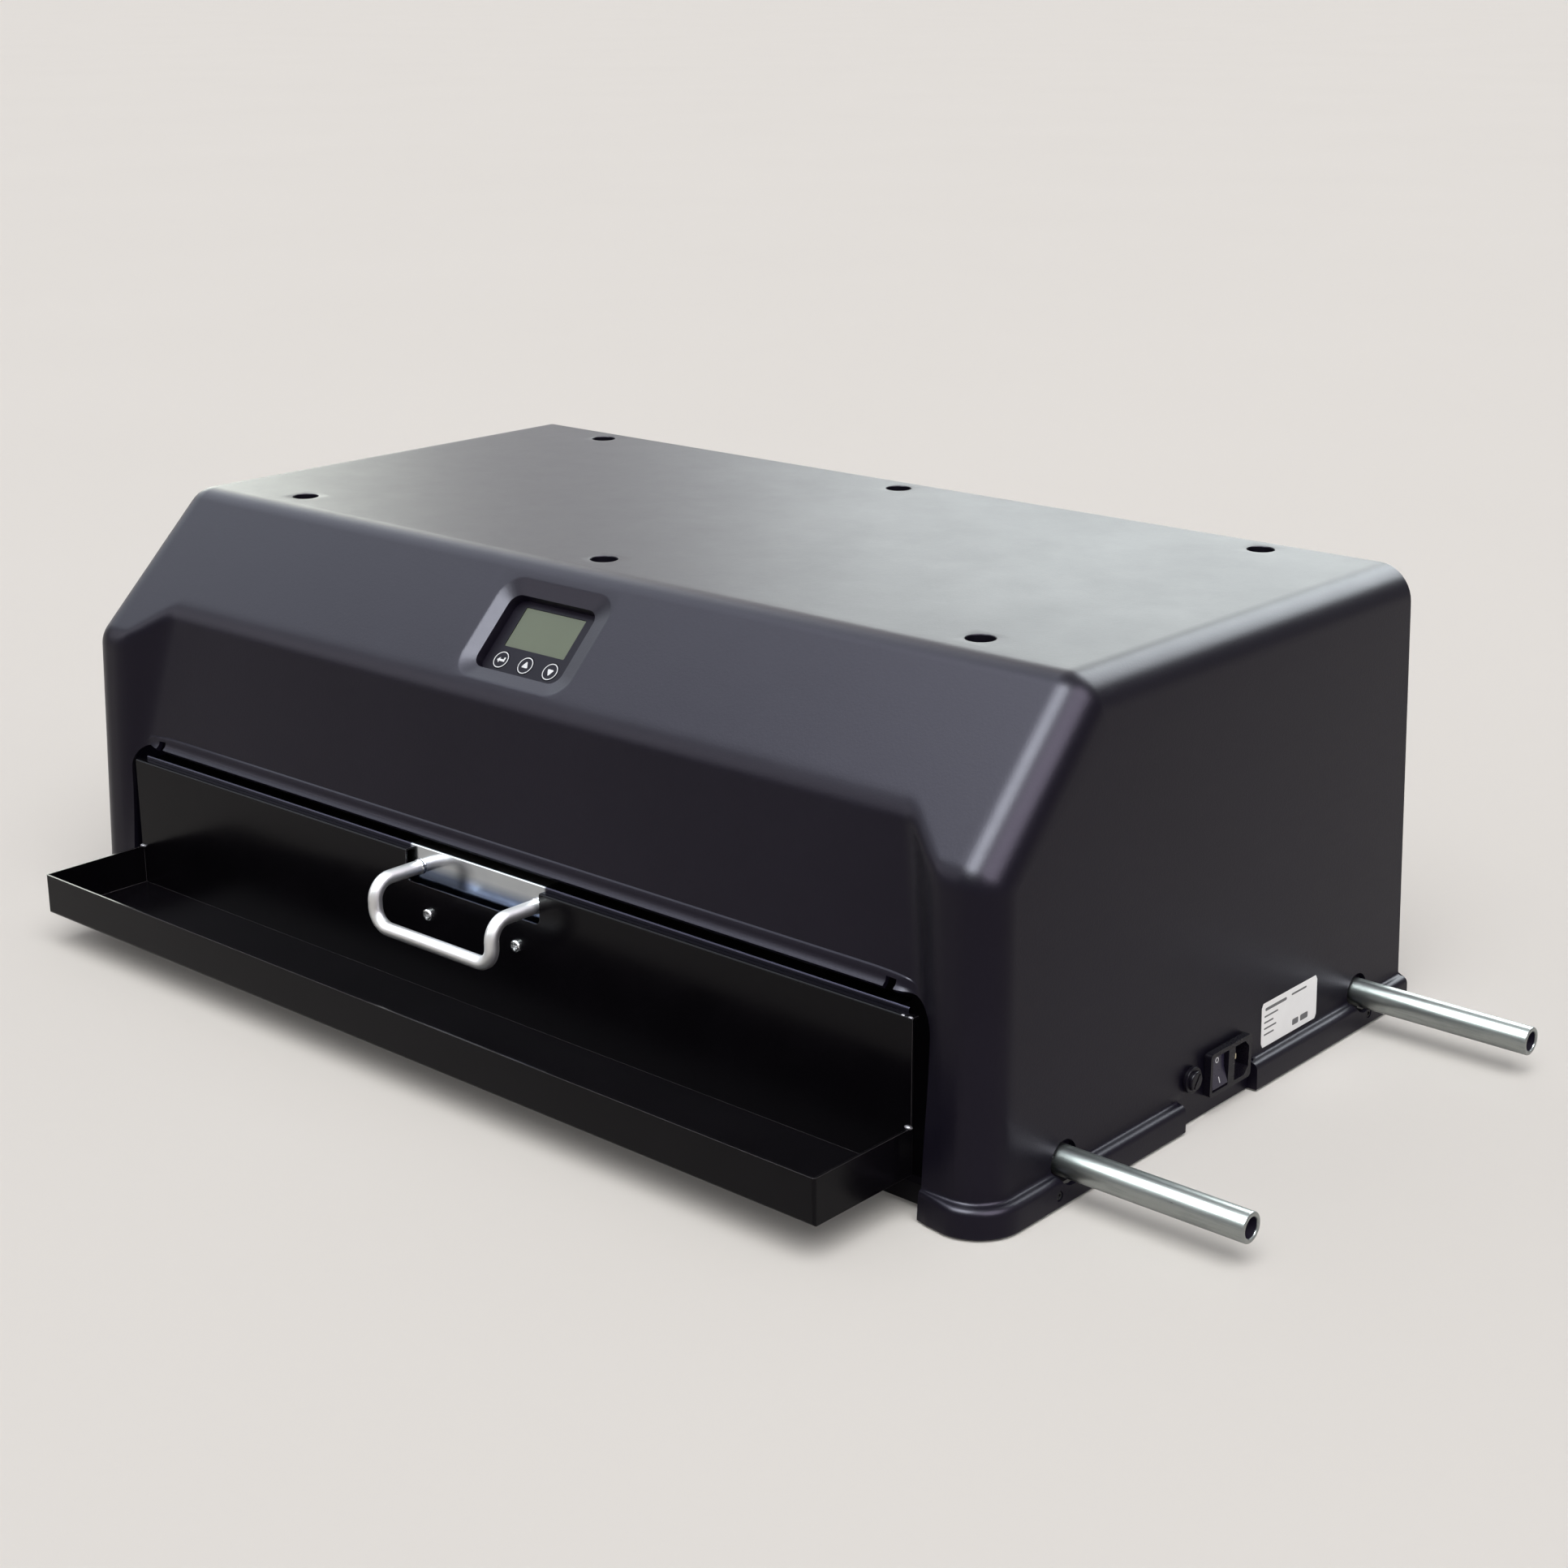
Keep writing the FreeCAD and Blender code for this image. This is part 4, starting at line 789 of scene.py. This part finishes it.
def hood_cutters():
    """Everything that opens the right-hand wall."""
    tools = []
    for node in RAILS:
        at = centre_mm(node)
        tools.append(cutter("cut_" + node, (SIDE_X, at.y, at.z), radius=RAIL_HOLE_R))
    low, high = box_mm("inlet_housing")
    size = high - low
    inlet, fuse = centre_mm("inlet_housing"), centre_mm("fuse_holder")
    tools.append(cutter("cut_inlet", (SIDE_X, inlet.y, inlet.z),
                        size=(60.0, size.y - INLET_BEZEL, size.z - INLET_BEZEL)))
    tools.append(cutter("cut_fuse", (SIDE_X, fuse.y, fuse.z), radius=FUSE_HOLE_R))
    ys, z = SIDE_SCREW
    face = side_x(z) + FLANGE_OUT
    for i, y in enumerate(ys):
        tools.append(cutter("cut_screw_%d" % i, (face + 3.0, y, z), radius=SCREW_SINK_R, length=10.0))
        tools.append(cutter("cut_hole_%d" % i, (face - 10.0, y, z), radius=SCREW_HOLE_R, length=40.0))
    return tools


def make_hood():
    hood = link("hood_moulding", build_hood(), "hood", "hood_plastic", replaces=["hood"])
    thick = hood.modifiers.new("wall", "SOLIDIFY")
    thick.thickness, thick.offset = WALL * MM, -1.0
    tools = hood_cutters()
    for tool in tools:
        cut = hood.modifiers.new(tool.name, "BOOLEAN")
        cut.operation, cut.solver, cut.object = "DIFFERENCE", "FAST", tool
    apply_modifiers(hood)
    for tool in tools:
        bpy.data.objects.remove(tool)
    bm = bmesh.new()
    bm.from_mesh(hood.data)
    smooth_by_angle(bm, EDGE_ANGLE)
    bm.to_mesh(hood.data)
    bm.free()


# ------ CAD nodes with softened edges
def soften(node, width, segments, finish=None, edge=None):
    """Replaces a CAD node by a copy with its flats made whole and its hard edges broken."""
    slot = next(s["material_slot"] for s in frame["record"]["subparts"] if s["node"] == node)
    bm = bmesh.new()
    bm.from_mesh(NODES[node].data)
    bmesh.ops.remove_doubles(bm, verts=bm.verts, dist=0.01 * MM)
    bmesh.ops.dissolve_limit(bm, angle_limit=math.radians(0.6), verts=bm.verts, edges=bm.edges)
    mesh = to_mesh(bm, node + "_finished", 1.0, EDGE_ANGLE)
    piece = link(node + "_finished", mesh, node, slot, finish, [node])
    bevel = piece.modifiers.new("edges", "BEVEL")
    bevel.width, bevel.segments = width * MM, segments
    bevel.limit_method, bevel.angle_limit = "ANGLE", math.radians(EDGE_ANGLE)
    bevel.harden_normals = True
    if edge:
        mesh.materials.append(MATERIALS[edge])
        bevel.material = 1
    apply_modifiers(piece)


SOFTENED = {
    # outside: width of the broken edge in mm, segments, finish, finish of the edge
    # catch_tray: its bevelled edges get a painted highlight
    "catch_tray": (0.45, 2, None, "edge_painted_highlight"), "front_plate": (0.4, 2), "base_plate": (0.4, 2),
    "rear_panel": (0.3, 1), "tray_screws": (0.2, 2), "handle_screws": (0.2, 2), "hood_top_screws": (0.2, 2),
    "rear_panel_screws": (0.2, 1), "rail_guide_screws": (0.15, 2), "inlet_housing": (0.5, 3),
    "power_rocker": (0.5, 3, "rocker_plastic"), "inlet_pins": (0.3, 2), "fuse_holder": (0.4, 3),
    "fuse_cap": (0.25, 2), "display_overlay": (0.15, 2), "lcd_module": (0.1, 1), "rubber_feet": (0.6, 3),
    # inside
    "drip_pan": (0.4, 2), "bay_cover": (0.3, 1), "oven_liner": (0.3, 1), "spit_bearing": (0.4, 2),
    "spit_shaft": (0.4, 2), "drive_socket": (0.4, 2), "fork_thumb_screws": (0.3, 1),
    "motor_bracket": (0.4, 2), "gear_motor": (0.8, 3), "power_board": (0.4, 1), "control_board": (0.3, 1),
    "transformer": (0.6, 2), "terminal_block": (0.4, 1), "fan_frame": (0.5, 1), "fan_impeller": (0.3, 1),
    "rail_guide_front": (0.6, 2), "rail_guide_rear": (0.6, 2), "slide_rail_left": (0.2, 1),
    "slide_rail_right": (0.2, 1),
    "slide_runner_left": (0.6, 2), "slide_runner_right": (0.6, 2), "top_frame": (0.5, 2),
    "liner_insulation": (3.0, 3), "tray_spacers": (0.2, 1), "heater_hangers": (0.2, 1),
}


def paint_nodes():
    """Gives each CAD node its finish."""
    for row in frame["record"]["subparts"]:
        node = NODES[row["node"]]
        node.data.materials.clear()
        node.data.materials.append(MATERIALS[row["material_slot"]])


# ------ drawer front
def rounded_path(points, radius):
    """Points along straight runs joined by tangent arcs."""
    points = [Vector(p) for p in points]
    path = [points[0]]
    for before, at, after in zip(points, points[1:], points[2:]):
        a, b = (before - at).normalized(), (after - at).normalized()
        half = a.angle(b) / 2
        centre_at = at + (a + b).normalized() * (radius / math.sin(half))
        first = at + a * (radius / math.tan(half)) - centre_at
        axis = a.cross(b).normalized()
        sweep = math.pi - 2 * half
        count = max(2, round(math.degrees(sweep) / 6.0))
        for i in range(count + 1):
            path.append(centre_at + Matrix.Rotation(-sweep * i / count, 3, axis) @ first)
    return path + [points[-1]]


def circle(radius, count):
    turns = (2 * math.pi * i / count for i in range(count))
    return [(radius * math.cos(a), radius * math.sin(a)) for a in turns]


def bridge(bm, first, second):
    """Faces between two rings of as many vertices."""
    for k in range(len(first)):
        j = (k + 1) % len(first)
        bm.faces.new((first[k], first[j], second[j], second[k]))


def sweep_tube(path, radius, sides=40):
    """Capped round bar along a path."""
    bm = bmesh.new()
    tangent = (path[1] - path[0]).normalized()
    normal = tangent.orthogonal().normalized()
    rings = []
    for i, point in enumerate(path):
        ahead = path[min(i + 1, len(path) - 1)] - path[max(i - 1, 0)]
        turn = tangent.rotation_difference(ahead.normalized())
        tangent, normal = ahead.normalized(), (turn @ normal).normalized()
        other = tangent.cross(normal)
        rings.append([bm.verts.new(point + normal * a + other * b) for a, b in circle(radius, sides)])
    for first, second in zip(rings, rings[1:]):
        bridge(bm, first, second)
    bm.faces.new(rings[0][::-1])
    bm.faces.new(rings[-1])
    bmesh.ops.recalc_face_normals(bm, faces=bm.faces)
    return bm


def turned(profile, start, axis, sides=64):
    """Solid of revolution; profile is a closed list of (distance along the axis, radius)."""
    bm = bmesh.new()
    axis, start = Vector(axis).normalized(), Vector(start)
    normal = axis.orthogonal().normalized()
    other = axis.cross(normal)
    rings = [[bm.verts.new(start + axis * along + normal * a + other * b) for a, b in circle(radius, sides)]
             for along, radius in profile]
    for first, second in zip(rings, rings[1:] + rings[:1]):
        bridge(bm, first, second)
    bmesh.ops.recalc_face_normals(bm, faces=bm.faces)
    return bm


def make_handle():
    """Bent bar of the pull handle, with a collar at each foot."""
    low, high = box_mm("pull_handle")
    radius = HANDLE_R
    half, plate_y = high.x - radius, high.y
    grip_y, grip_z, foot_z = low.y + radius, low.z + radius, high.z - radius
    route = [(-half, plate_y, foot_z), (-half, grip_y, foot_z), (-half, grip_y, grip_z),
             (half, grip_y, grip_z), (half, grip_y, foot_z), (half, plate_y, foot_z)]
    mesh = to_mesh(sweep_tube(rounded_path(route, HANDLE_BEND), radius), "handle_bar")
    link("handle_bar", mesh, "pull_handle", "satin_aluminium", replaces=["pull_handle"])
    collar = [(0.15, radius - 0.2), (0.15, radius + 0.4), (0.5, radius + 0.6), (1.5, radius + 0.6),
              (2.0, radius + 0.3), (2.2, radius - 0.2)]
    for side, name in ((-1, "left"), (1, "right")):
        bm = turned(collar, (side * half, plate_y, foot_z), (0, -1, 0))
        link("handle_collar_" + name, to_mesh(bm, "collar"), "pull_handle", "bright_screws")


def make_tacks():
    """Small tack welds where the folded sheet of the tray meets, two on the rim and two on the panel."""
    _, high = box_mm("catch_tray")
    plate_low, _ = box_mm("front_plate")
    panel_y = plate_low.y - PANEL_GAP
    spots = [(side * (high.x - 1.6), panel_y - 0.6, TRAY_RIM_Z + 0.4, 2.0) for side in (-1, 1)]
    spots += [(high.x - aside, panel_y + 1.0, high.z - 0.3, size) for aside, size in ((2.2, 1.3), (8.0, 1.1))]
    bm = bmesh.new()
    for x, y, z, size in spots:
        made = bmesh.ops.create_icosphere(bm, subdivisions=3, radius=size)["verts"]
        for v in made:
            ripple = 1 + 0.12 * math.sin(v.co.x * 4.0 + v.co.z * 3.0)
            v.co = Vector((v.co.x * 1.4 * ripple + x, v.co.y * 0.9 + y, v.co.z * 0.6 * ripple + z))
    link("tray_weld_tacks", to_mesh(bm, "tacks"), "catch_tray", None, "tack_metal")


# ------ rails
def make_rails():
    """Tubes with turned ends, and a bore painted near black as shade."""
    for node in RAILS:
        low, high = box_mm(node)
        outer, length = (high.z - low.z) / 2, high.x - low.x
        start = (low.x, *centre_mm(node).yz)
        profile = [(0.6, outer), (length - 1.1, outer), (length - 0.5, outer - 0.2),
                   (length - 0.1, outer - 0.7), (length, outer - 1.1), (length, RAIL_BORE_R + 0.7),
                   (length - 0.3, RAIL_BORE_R + 0.25), (length - 0.9, RAIL_BORE_R), (0.6, RAIL_BORE_R),
                   (0.0, RAIL_BORE_R + 0.6), (0.0, outer - 0.6)]
        mesh = to_mesh(turned(profile, start, (1, 0, 0), 96), node)
        tube = link(node + "_tube", mesh, node, "zinc_tube", replaces=[node])
        # the bore's faces get the painted shade
        tube.data.materials.append(MATERIALS["bore_shade_finish"])
        axis = Vector(start) * MM
        for face in tube.data.polygons:
            if (face.center - axis).yz.length < (RAIL_BORE_R + 0.02) * MM:
                face.material_index = 1


# ------ printed marks
def flat_mark(name, node, outlines, origin, across, up, out, lift, finish, thickness=0.06, slot=None,
              replaces=()):
    """Thin raised ink; outlines are closed lists of points in the plane, or (outer, inner) rings."""
    bm = bmesh.new()
    origin, across, up, out = (Vector(v) for v in (origin, across, up, out))

    def point(a, b, height):
        return bm.verts.new(origin + across * a + up * b + out * (lift + height))
    for outline in outlines:
        if isinstance(outline[0][0], tuple):
            outer, inner = outline
            loops = [[point(a, b, h) for a, b in loop] for loop, h in
                     ((outer, 0.0), (outer, thickness), (inner, thickness), (inner, 0.0))]
            for first, second in zip(loops, loops[1:] + loops[:1]):
                bridge(bm, first, second)
        else:
            top = [point(a, b, thickness) for a, b in outline]
            bottom = [point(a, b, 0.0) for a, b in outline]
            bm.faces.new(top)
            bm.faces.new(bottom[::-1])
            bridge(bm, top, bottom)
    bmesh.ops.recalc_face_normals(bm, faces=bm.faces)
    link(name, to_mesh(bm, name), node, slot, finish, replaces)


def bar(a, b, width, height):
    """Rectangle with slightly rounded corners about (a, b)."""
    return [(a + x, b + y) for x, y in ring_points(width, height, min(width, height) * 0.2, [8] * 4)]


def rounded_triangle(size, flip):
    """Triangle with soft corners, pointing up, or down if flip is -1."""
    soft = 0.22
    points = []
    for corner in (90, 210, 330):
        for angle in range(corner - 60, corner + 61, 20):
            a, b = ((1 - soft) * turn(math.radians(corner)) + soft * turn(math.radians(angle))
                    for turn in (math.cos, math.sin))
            points.append((size * a, flip * size * b))
    return points if flip > 0 else points[::-1]


def make_display_marks():
    """A ring and an arrow on each key."""
    enter = [(-3.6, -0.4), (-1.2, 1.9), (-1.2, 0.5), (2.3, 0.5), (2.3, 2.2), (3.7, 2.2), (3.7, -1.2),
             (-1.2, -1.2), (-1.2, -2.6)]
    icons = {"enter": enter, "up": rounded_triangle(3.0, 1), "down": rounded_triangle(3.0, -1)}
    for x, name in zip(KEY_X, icons):
        at = POCKET_AT + Vector((x, 0, 0)) + FACE_UP * KEY_V
        ring = (circle(KEY_R - 0.35, 64), circle(KEY_R - 1.05, 64))
        flat_mark("icon_" + name, "key_" + name, [ring, icons[name]], at, (1, 0, 0), FACE_UP, FACE_OUT,
                  KEY_FACE - POCKET_DEPTH, "ink_white")


def make_inlet_marks():
    """O and I on the two faces of the rocker, at rest with its upper half pressed in."""
    y, z = centre_mm("power_rocker").y, centre_mm("inlet_housing").z
    shapes = {"rocker_mark_off": (circle(2.0, 48), circle(1.35, 48)), "rocker_mark_on": bar(0, 0, 0.8, 4.2)}
    ridge = Vector((ROCKER_PIVOT_X + ROCKER_RIDGE[0], y, z + ROCKER_RIDGE[1]))
    across = Vector((0, 1, 0))
    for name, (end_x, end_z) in ROCKER_ENDS.items():
        tip = Vector((ROCKER_PIVOT_X + end_x, y, z + end_z))
        up = (tip - ridge).normalized() * math.copysign(1, end_z)
        flat_mark(name, "power_rocker", [shapes[name]], ridge + (tip - ridge) * 0.6, across, up,
                  across.cross(up), ROCKER_MARK_LIFT, "ink_white")


def make_label():
    """Plain white label with a few abstract grey bars in place of its print."""
    low, high = box_mm("rating_label")
    width, height = high.y - low.y, high.z - low.z
    across, lean = Vector((0, 1, 0)), Vector((low.x - high.x + 0.3, 0, height)).normalized()
    out = across.cross(lean)
    at = (low + high) / 2 + Vector((0.02, 0, 0))
    plate = ring_points(width, height, 1.6, [12] * 4)
    flat_mark("label_plate", "rating_label", [plate], at, across, lean, out, -LABEL_THICK / 2,
              "white_label", LABEL_THICK, "white_label", ["rating_label"])
    bars = [bar(-18.0, 11.0, 28.0, 2.2), bar(12.0, 11.6, 20.0, 1.4)]
    bars += [bar(-24.0 - shorter / 2, 6.0 - 4.4 * row, 18.0 - shorter, 1.2)
             for row, shorter in enumerate((0, 6, 2, 5))]
    bars += [bar(8.0, -9.6, 8.0, 4.4), bar(19.5, -9.6, 10.0, 4.4)]
    flat_mark("label_bars", "rating_label", bars, at, across, lean, out, LABEL_THICK / 2 + 0.01,
              "ink_grey", 0.03)


# ------ stage, lights, camera
CAMERA_AT = (1.27198, -1.35449, 0.73559)
CAMERA_TURN = (41.541, 18.026, -0.148)      # azimuth from the front, elevation and roll in degrees
CAMERA_LENS = 59.1535
PANELS = {
    # name: azimuth from +Y towards -X, elevation, width in degrees, radiance, colour
    "left_panel": (85.0, 42.0, 46.0, 3.3, (0.80, 0.89, 1.0)),
    "front_left_spot": (124.0, 60.0, 26.0, 9.0, (0.84, 0.90, 1.0)),
    "right_panel": (-103.0, 50.0, 46.0, 14.0, (0.92, 0.90, 1.0)),
    "front_high_spot": (170.0, 62.0, 32.0, 46.0, (0.90, 1.0, 1.0)),
    "back_panel": (2.0, 36.0, 36.0, 12.0, (0.90, 0.98, 1.0)),
    "front_low_glow": (132.0, 22.0, 26.0, 4.0, (0.92, 0.94, 1.0)),
    "left_low_glow": (78.0, 14.0, 28.0, 0.9, (0.95, 0.97, 1.0)),
    "back_left_high": (52.0, 36.0, 34.0, 1.5, (0.98, 0.96, 1.0)),
    "low_back_glow": (44.0, 14.0, 44.0, 0.40, (1.0, 0.96, 1.0)),
    "back_right_window": (31.0, 17.0, 24.0, 4.2, (0.92, 1.0, 0.98)),
    "back_left_window": (60.0, 14.0, 18.0, 7.0, (0.94, 1.0, 0.89)),
}
FLOOR_RADIUS = 90.0
FLOOR_COLOURS = ((0.768, 0.750, 0.722), (0.776, 0.758, 0.730))
WORLD_LIGHT, WORLD_SEEN = (0.35, 0.34, 0.35), (0.753, 0.730, 0.694)


def make_camera():
    azimuth, elevation, roll = (math.radians(a) for a in CAMERA_TURN)
    back = Vector((math.sin(azimuth) * math.cos(elevation), -math.cos(azimuth) * math.cos(elevation),
                   math.sin(elevation)))
    right = (-back).cross(Vector((0, 0, 1))).normalized()
    up = right.cross(-back)
    turned_right = right * math.cos(roll) + up * math.sin(roll)
    turned_up = up * math.cos(roll) - right * math.sin(roll)
    data = bpy.data.cameras.new("camera")
    data.lens, data.sensor_width = CAMERA_LENS, 36.0
    data.clip_start, data.clip_end = 0.05, 400.0
    camera = new_object("camera", data)
    basis = Matrix((turned_right, turned_up, back)).transposed().to_4x4()
    camera.matrix_world = Matrix.Translation(Vector(CAMERA_AT)) @ basis
    bpy.context.scene.camera = camera


def aim(light, direction):
    """Turns a light so that it shines from the given direction towards the origin."""
    light.rotation_mode = "QUATERNION"
    light.rotation_quaternion = (-Vector(direction)).to_track_quat("-Z", "Y")
    light.visible_camera = False


def soft_panel(name, azimuth, elevation, degrees, radiance, colour):
    """Round soft light at infinity that only makes highlights."""
    a, e = math.radians(azimuth), math.radians(elevation)
    data = bpy.data.lights.new(name, "SUN")
    data.angle, data.color = math.radians(degrees), colour
    data.energy = radiance * math.pi * math.sin(data.angle / 2) ** 2
    light = new_object(name, data)
    light.visible_diffuse = False
    aim(light, (-math.sin(a) * math.cos(e), math.cos(a) * math.cos(e), math.sin(e)))


def make_lights():
    """Panels for the highlights, and one wide light without shadow or highlight."""
    for name, values in PANELS.items():
        soft_panel(name, *values)
    data = bpy.data.lights.new("even_fill", "SUN")
    data.angle, data.energy, data.color = math.radians(60.0), 2.3, (1.0, 0.985, 0.96)
    data.use_shadow = False
    fill = new_object("even_fill", data)
    fill.visible_glossy = False
    aim(fill, (0.35, -0.35, 0.87))


def make_stage():
    bm = bmesh.new()
    bmesh.ops.create_circle(bm, cap_ends=True, segments=96, radius=FLOOR_RADIUS)
    mesh = to_mesh(bm, "floor", 1.0)
    floor = new_object("floor", mesh)
    material, tree, shader = new_material("pale_floor")
    patches = noise(tree, place(tree), 1.2, 2.0)
    tree.links.new(ramp(tree, patches, *FLOOR_COLOURS, 0.3, 0.7), shader.inputs["Base Color"])
    shader.inputs["Roughness"].default_value = 0.9
    shader.inputs["Specular IOR Level"].default_value = 0.0
    mesh.materials.append(material)
    world = bpy.data.worlds.new("studio")
    world.use_nodes = True
    bpy.context.scene.world = world
    tree = world.node_tree
    seen = add(tree, "ShaderNodeLightPath").outputs["Is Camera Ray"]
    tree.links.new(ramp(tree, seen, WORLD_LIGHT, WORLD_SEEN, 0.0, 1.0),
                   tree.nodes["Background"].inputs["Color"])
    bpy.context.scene.view_settings.view_transform = "Standard"


make_camera()
make_stage()
make_lights()
paint_nodes()
make_hood()
make_handle()
make_tacks()
make_rails()
make_display_marks()
make_inlet_marks()
make_label()
for name in SOFTENED:
    soften(name, *SOFTENED[name])
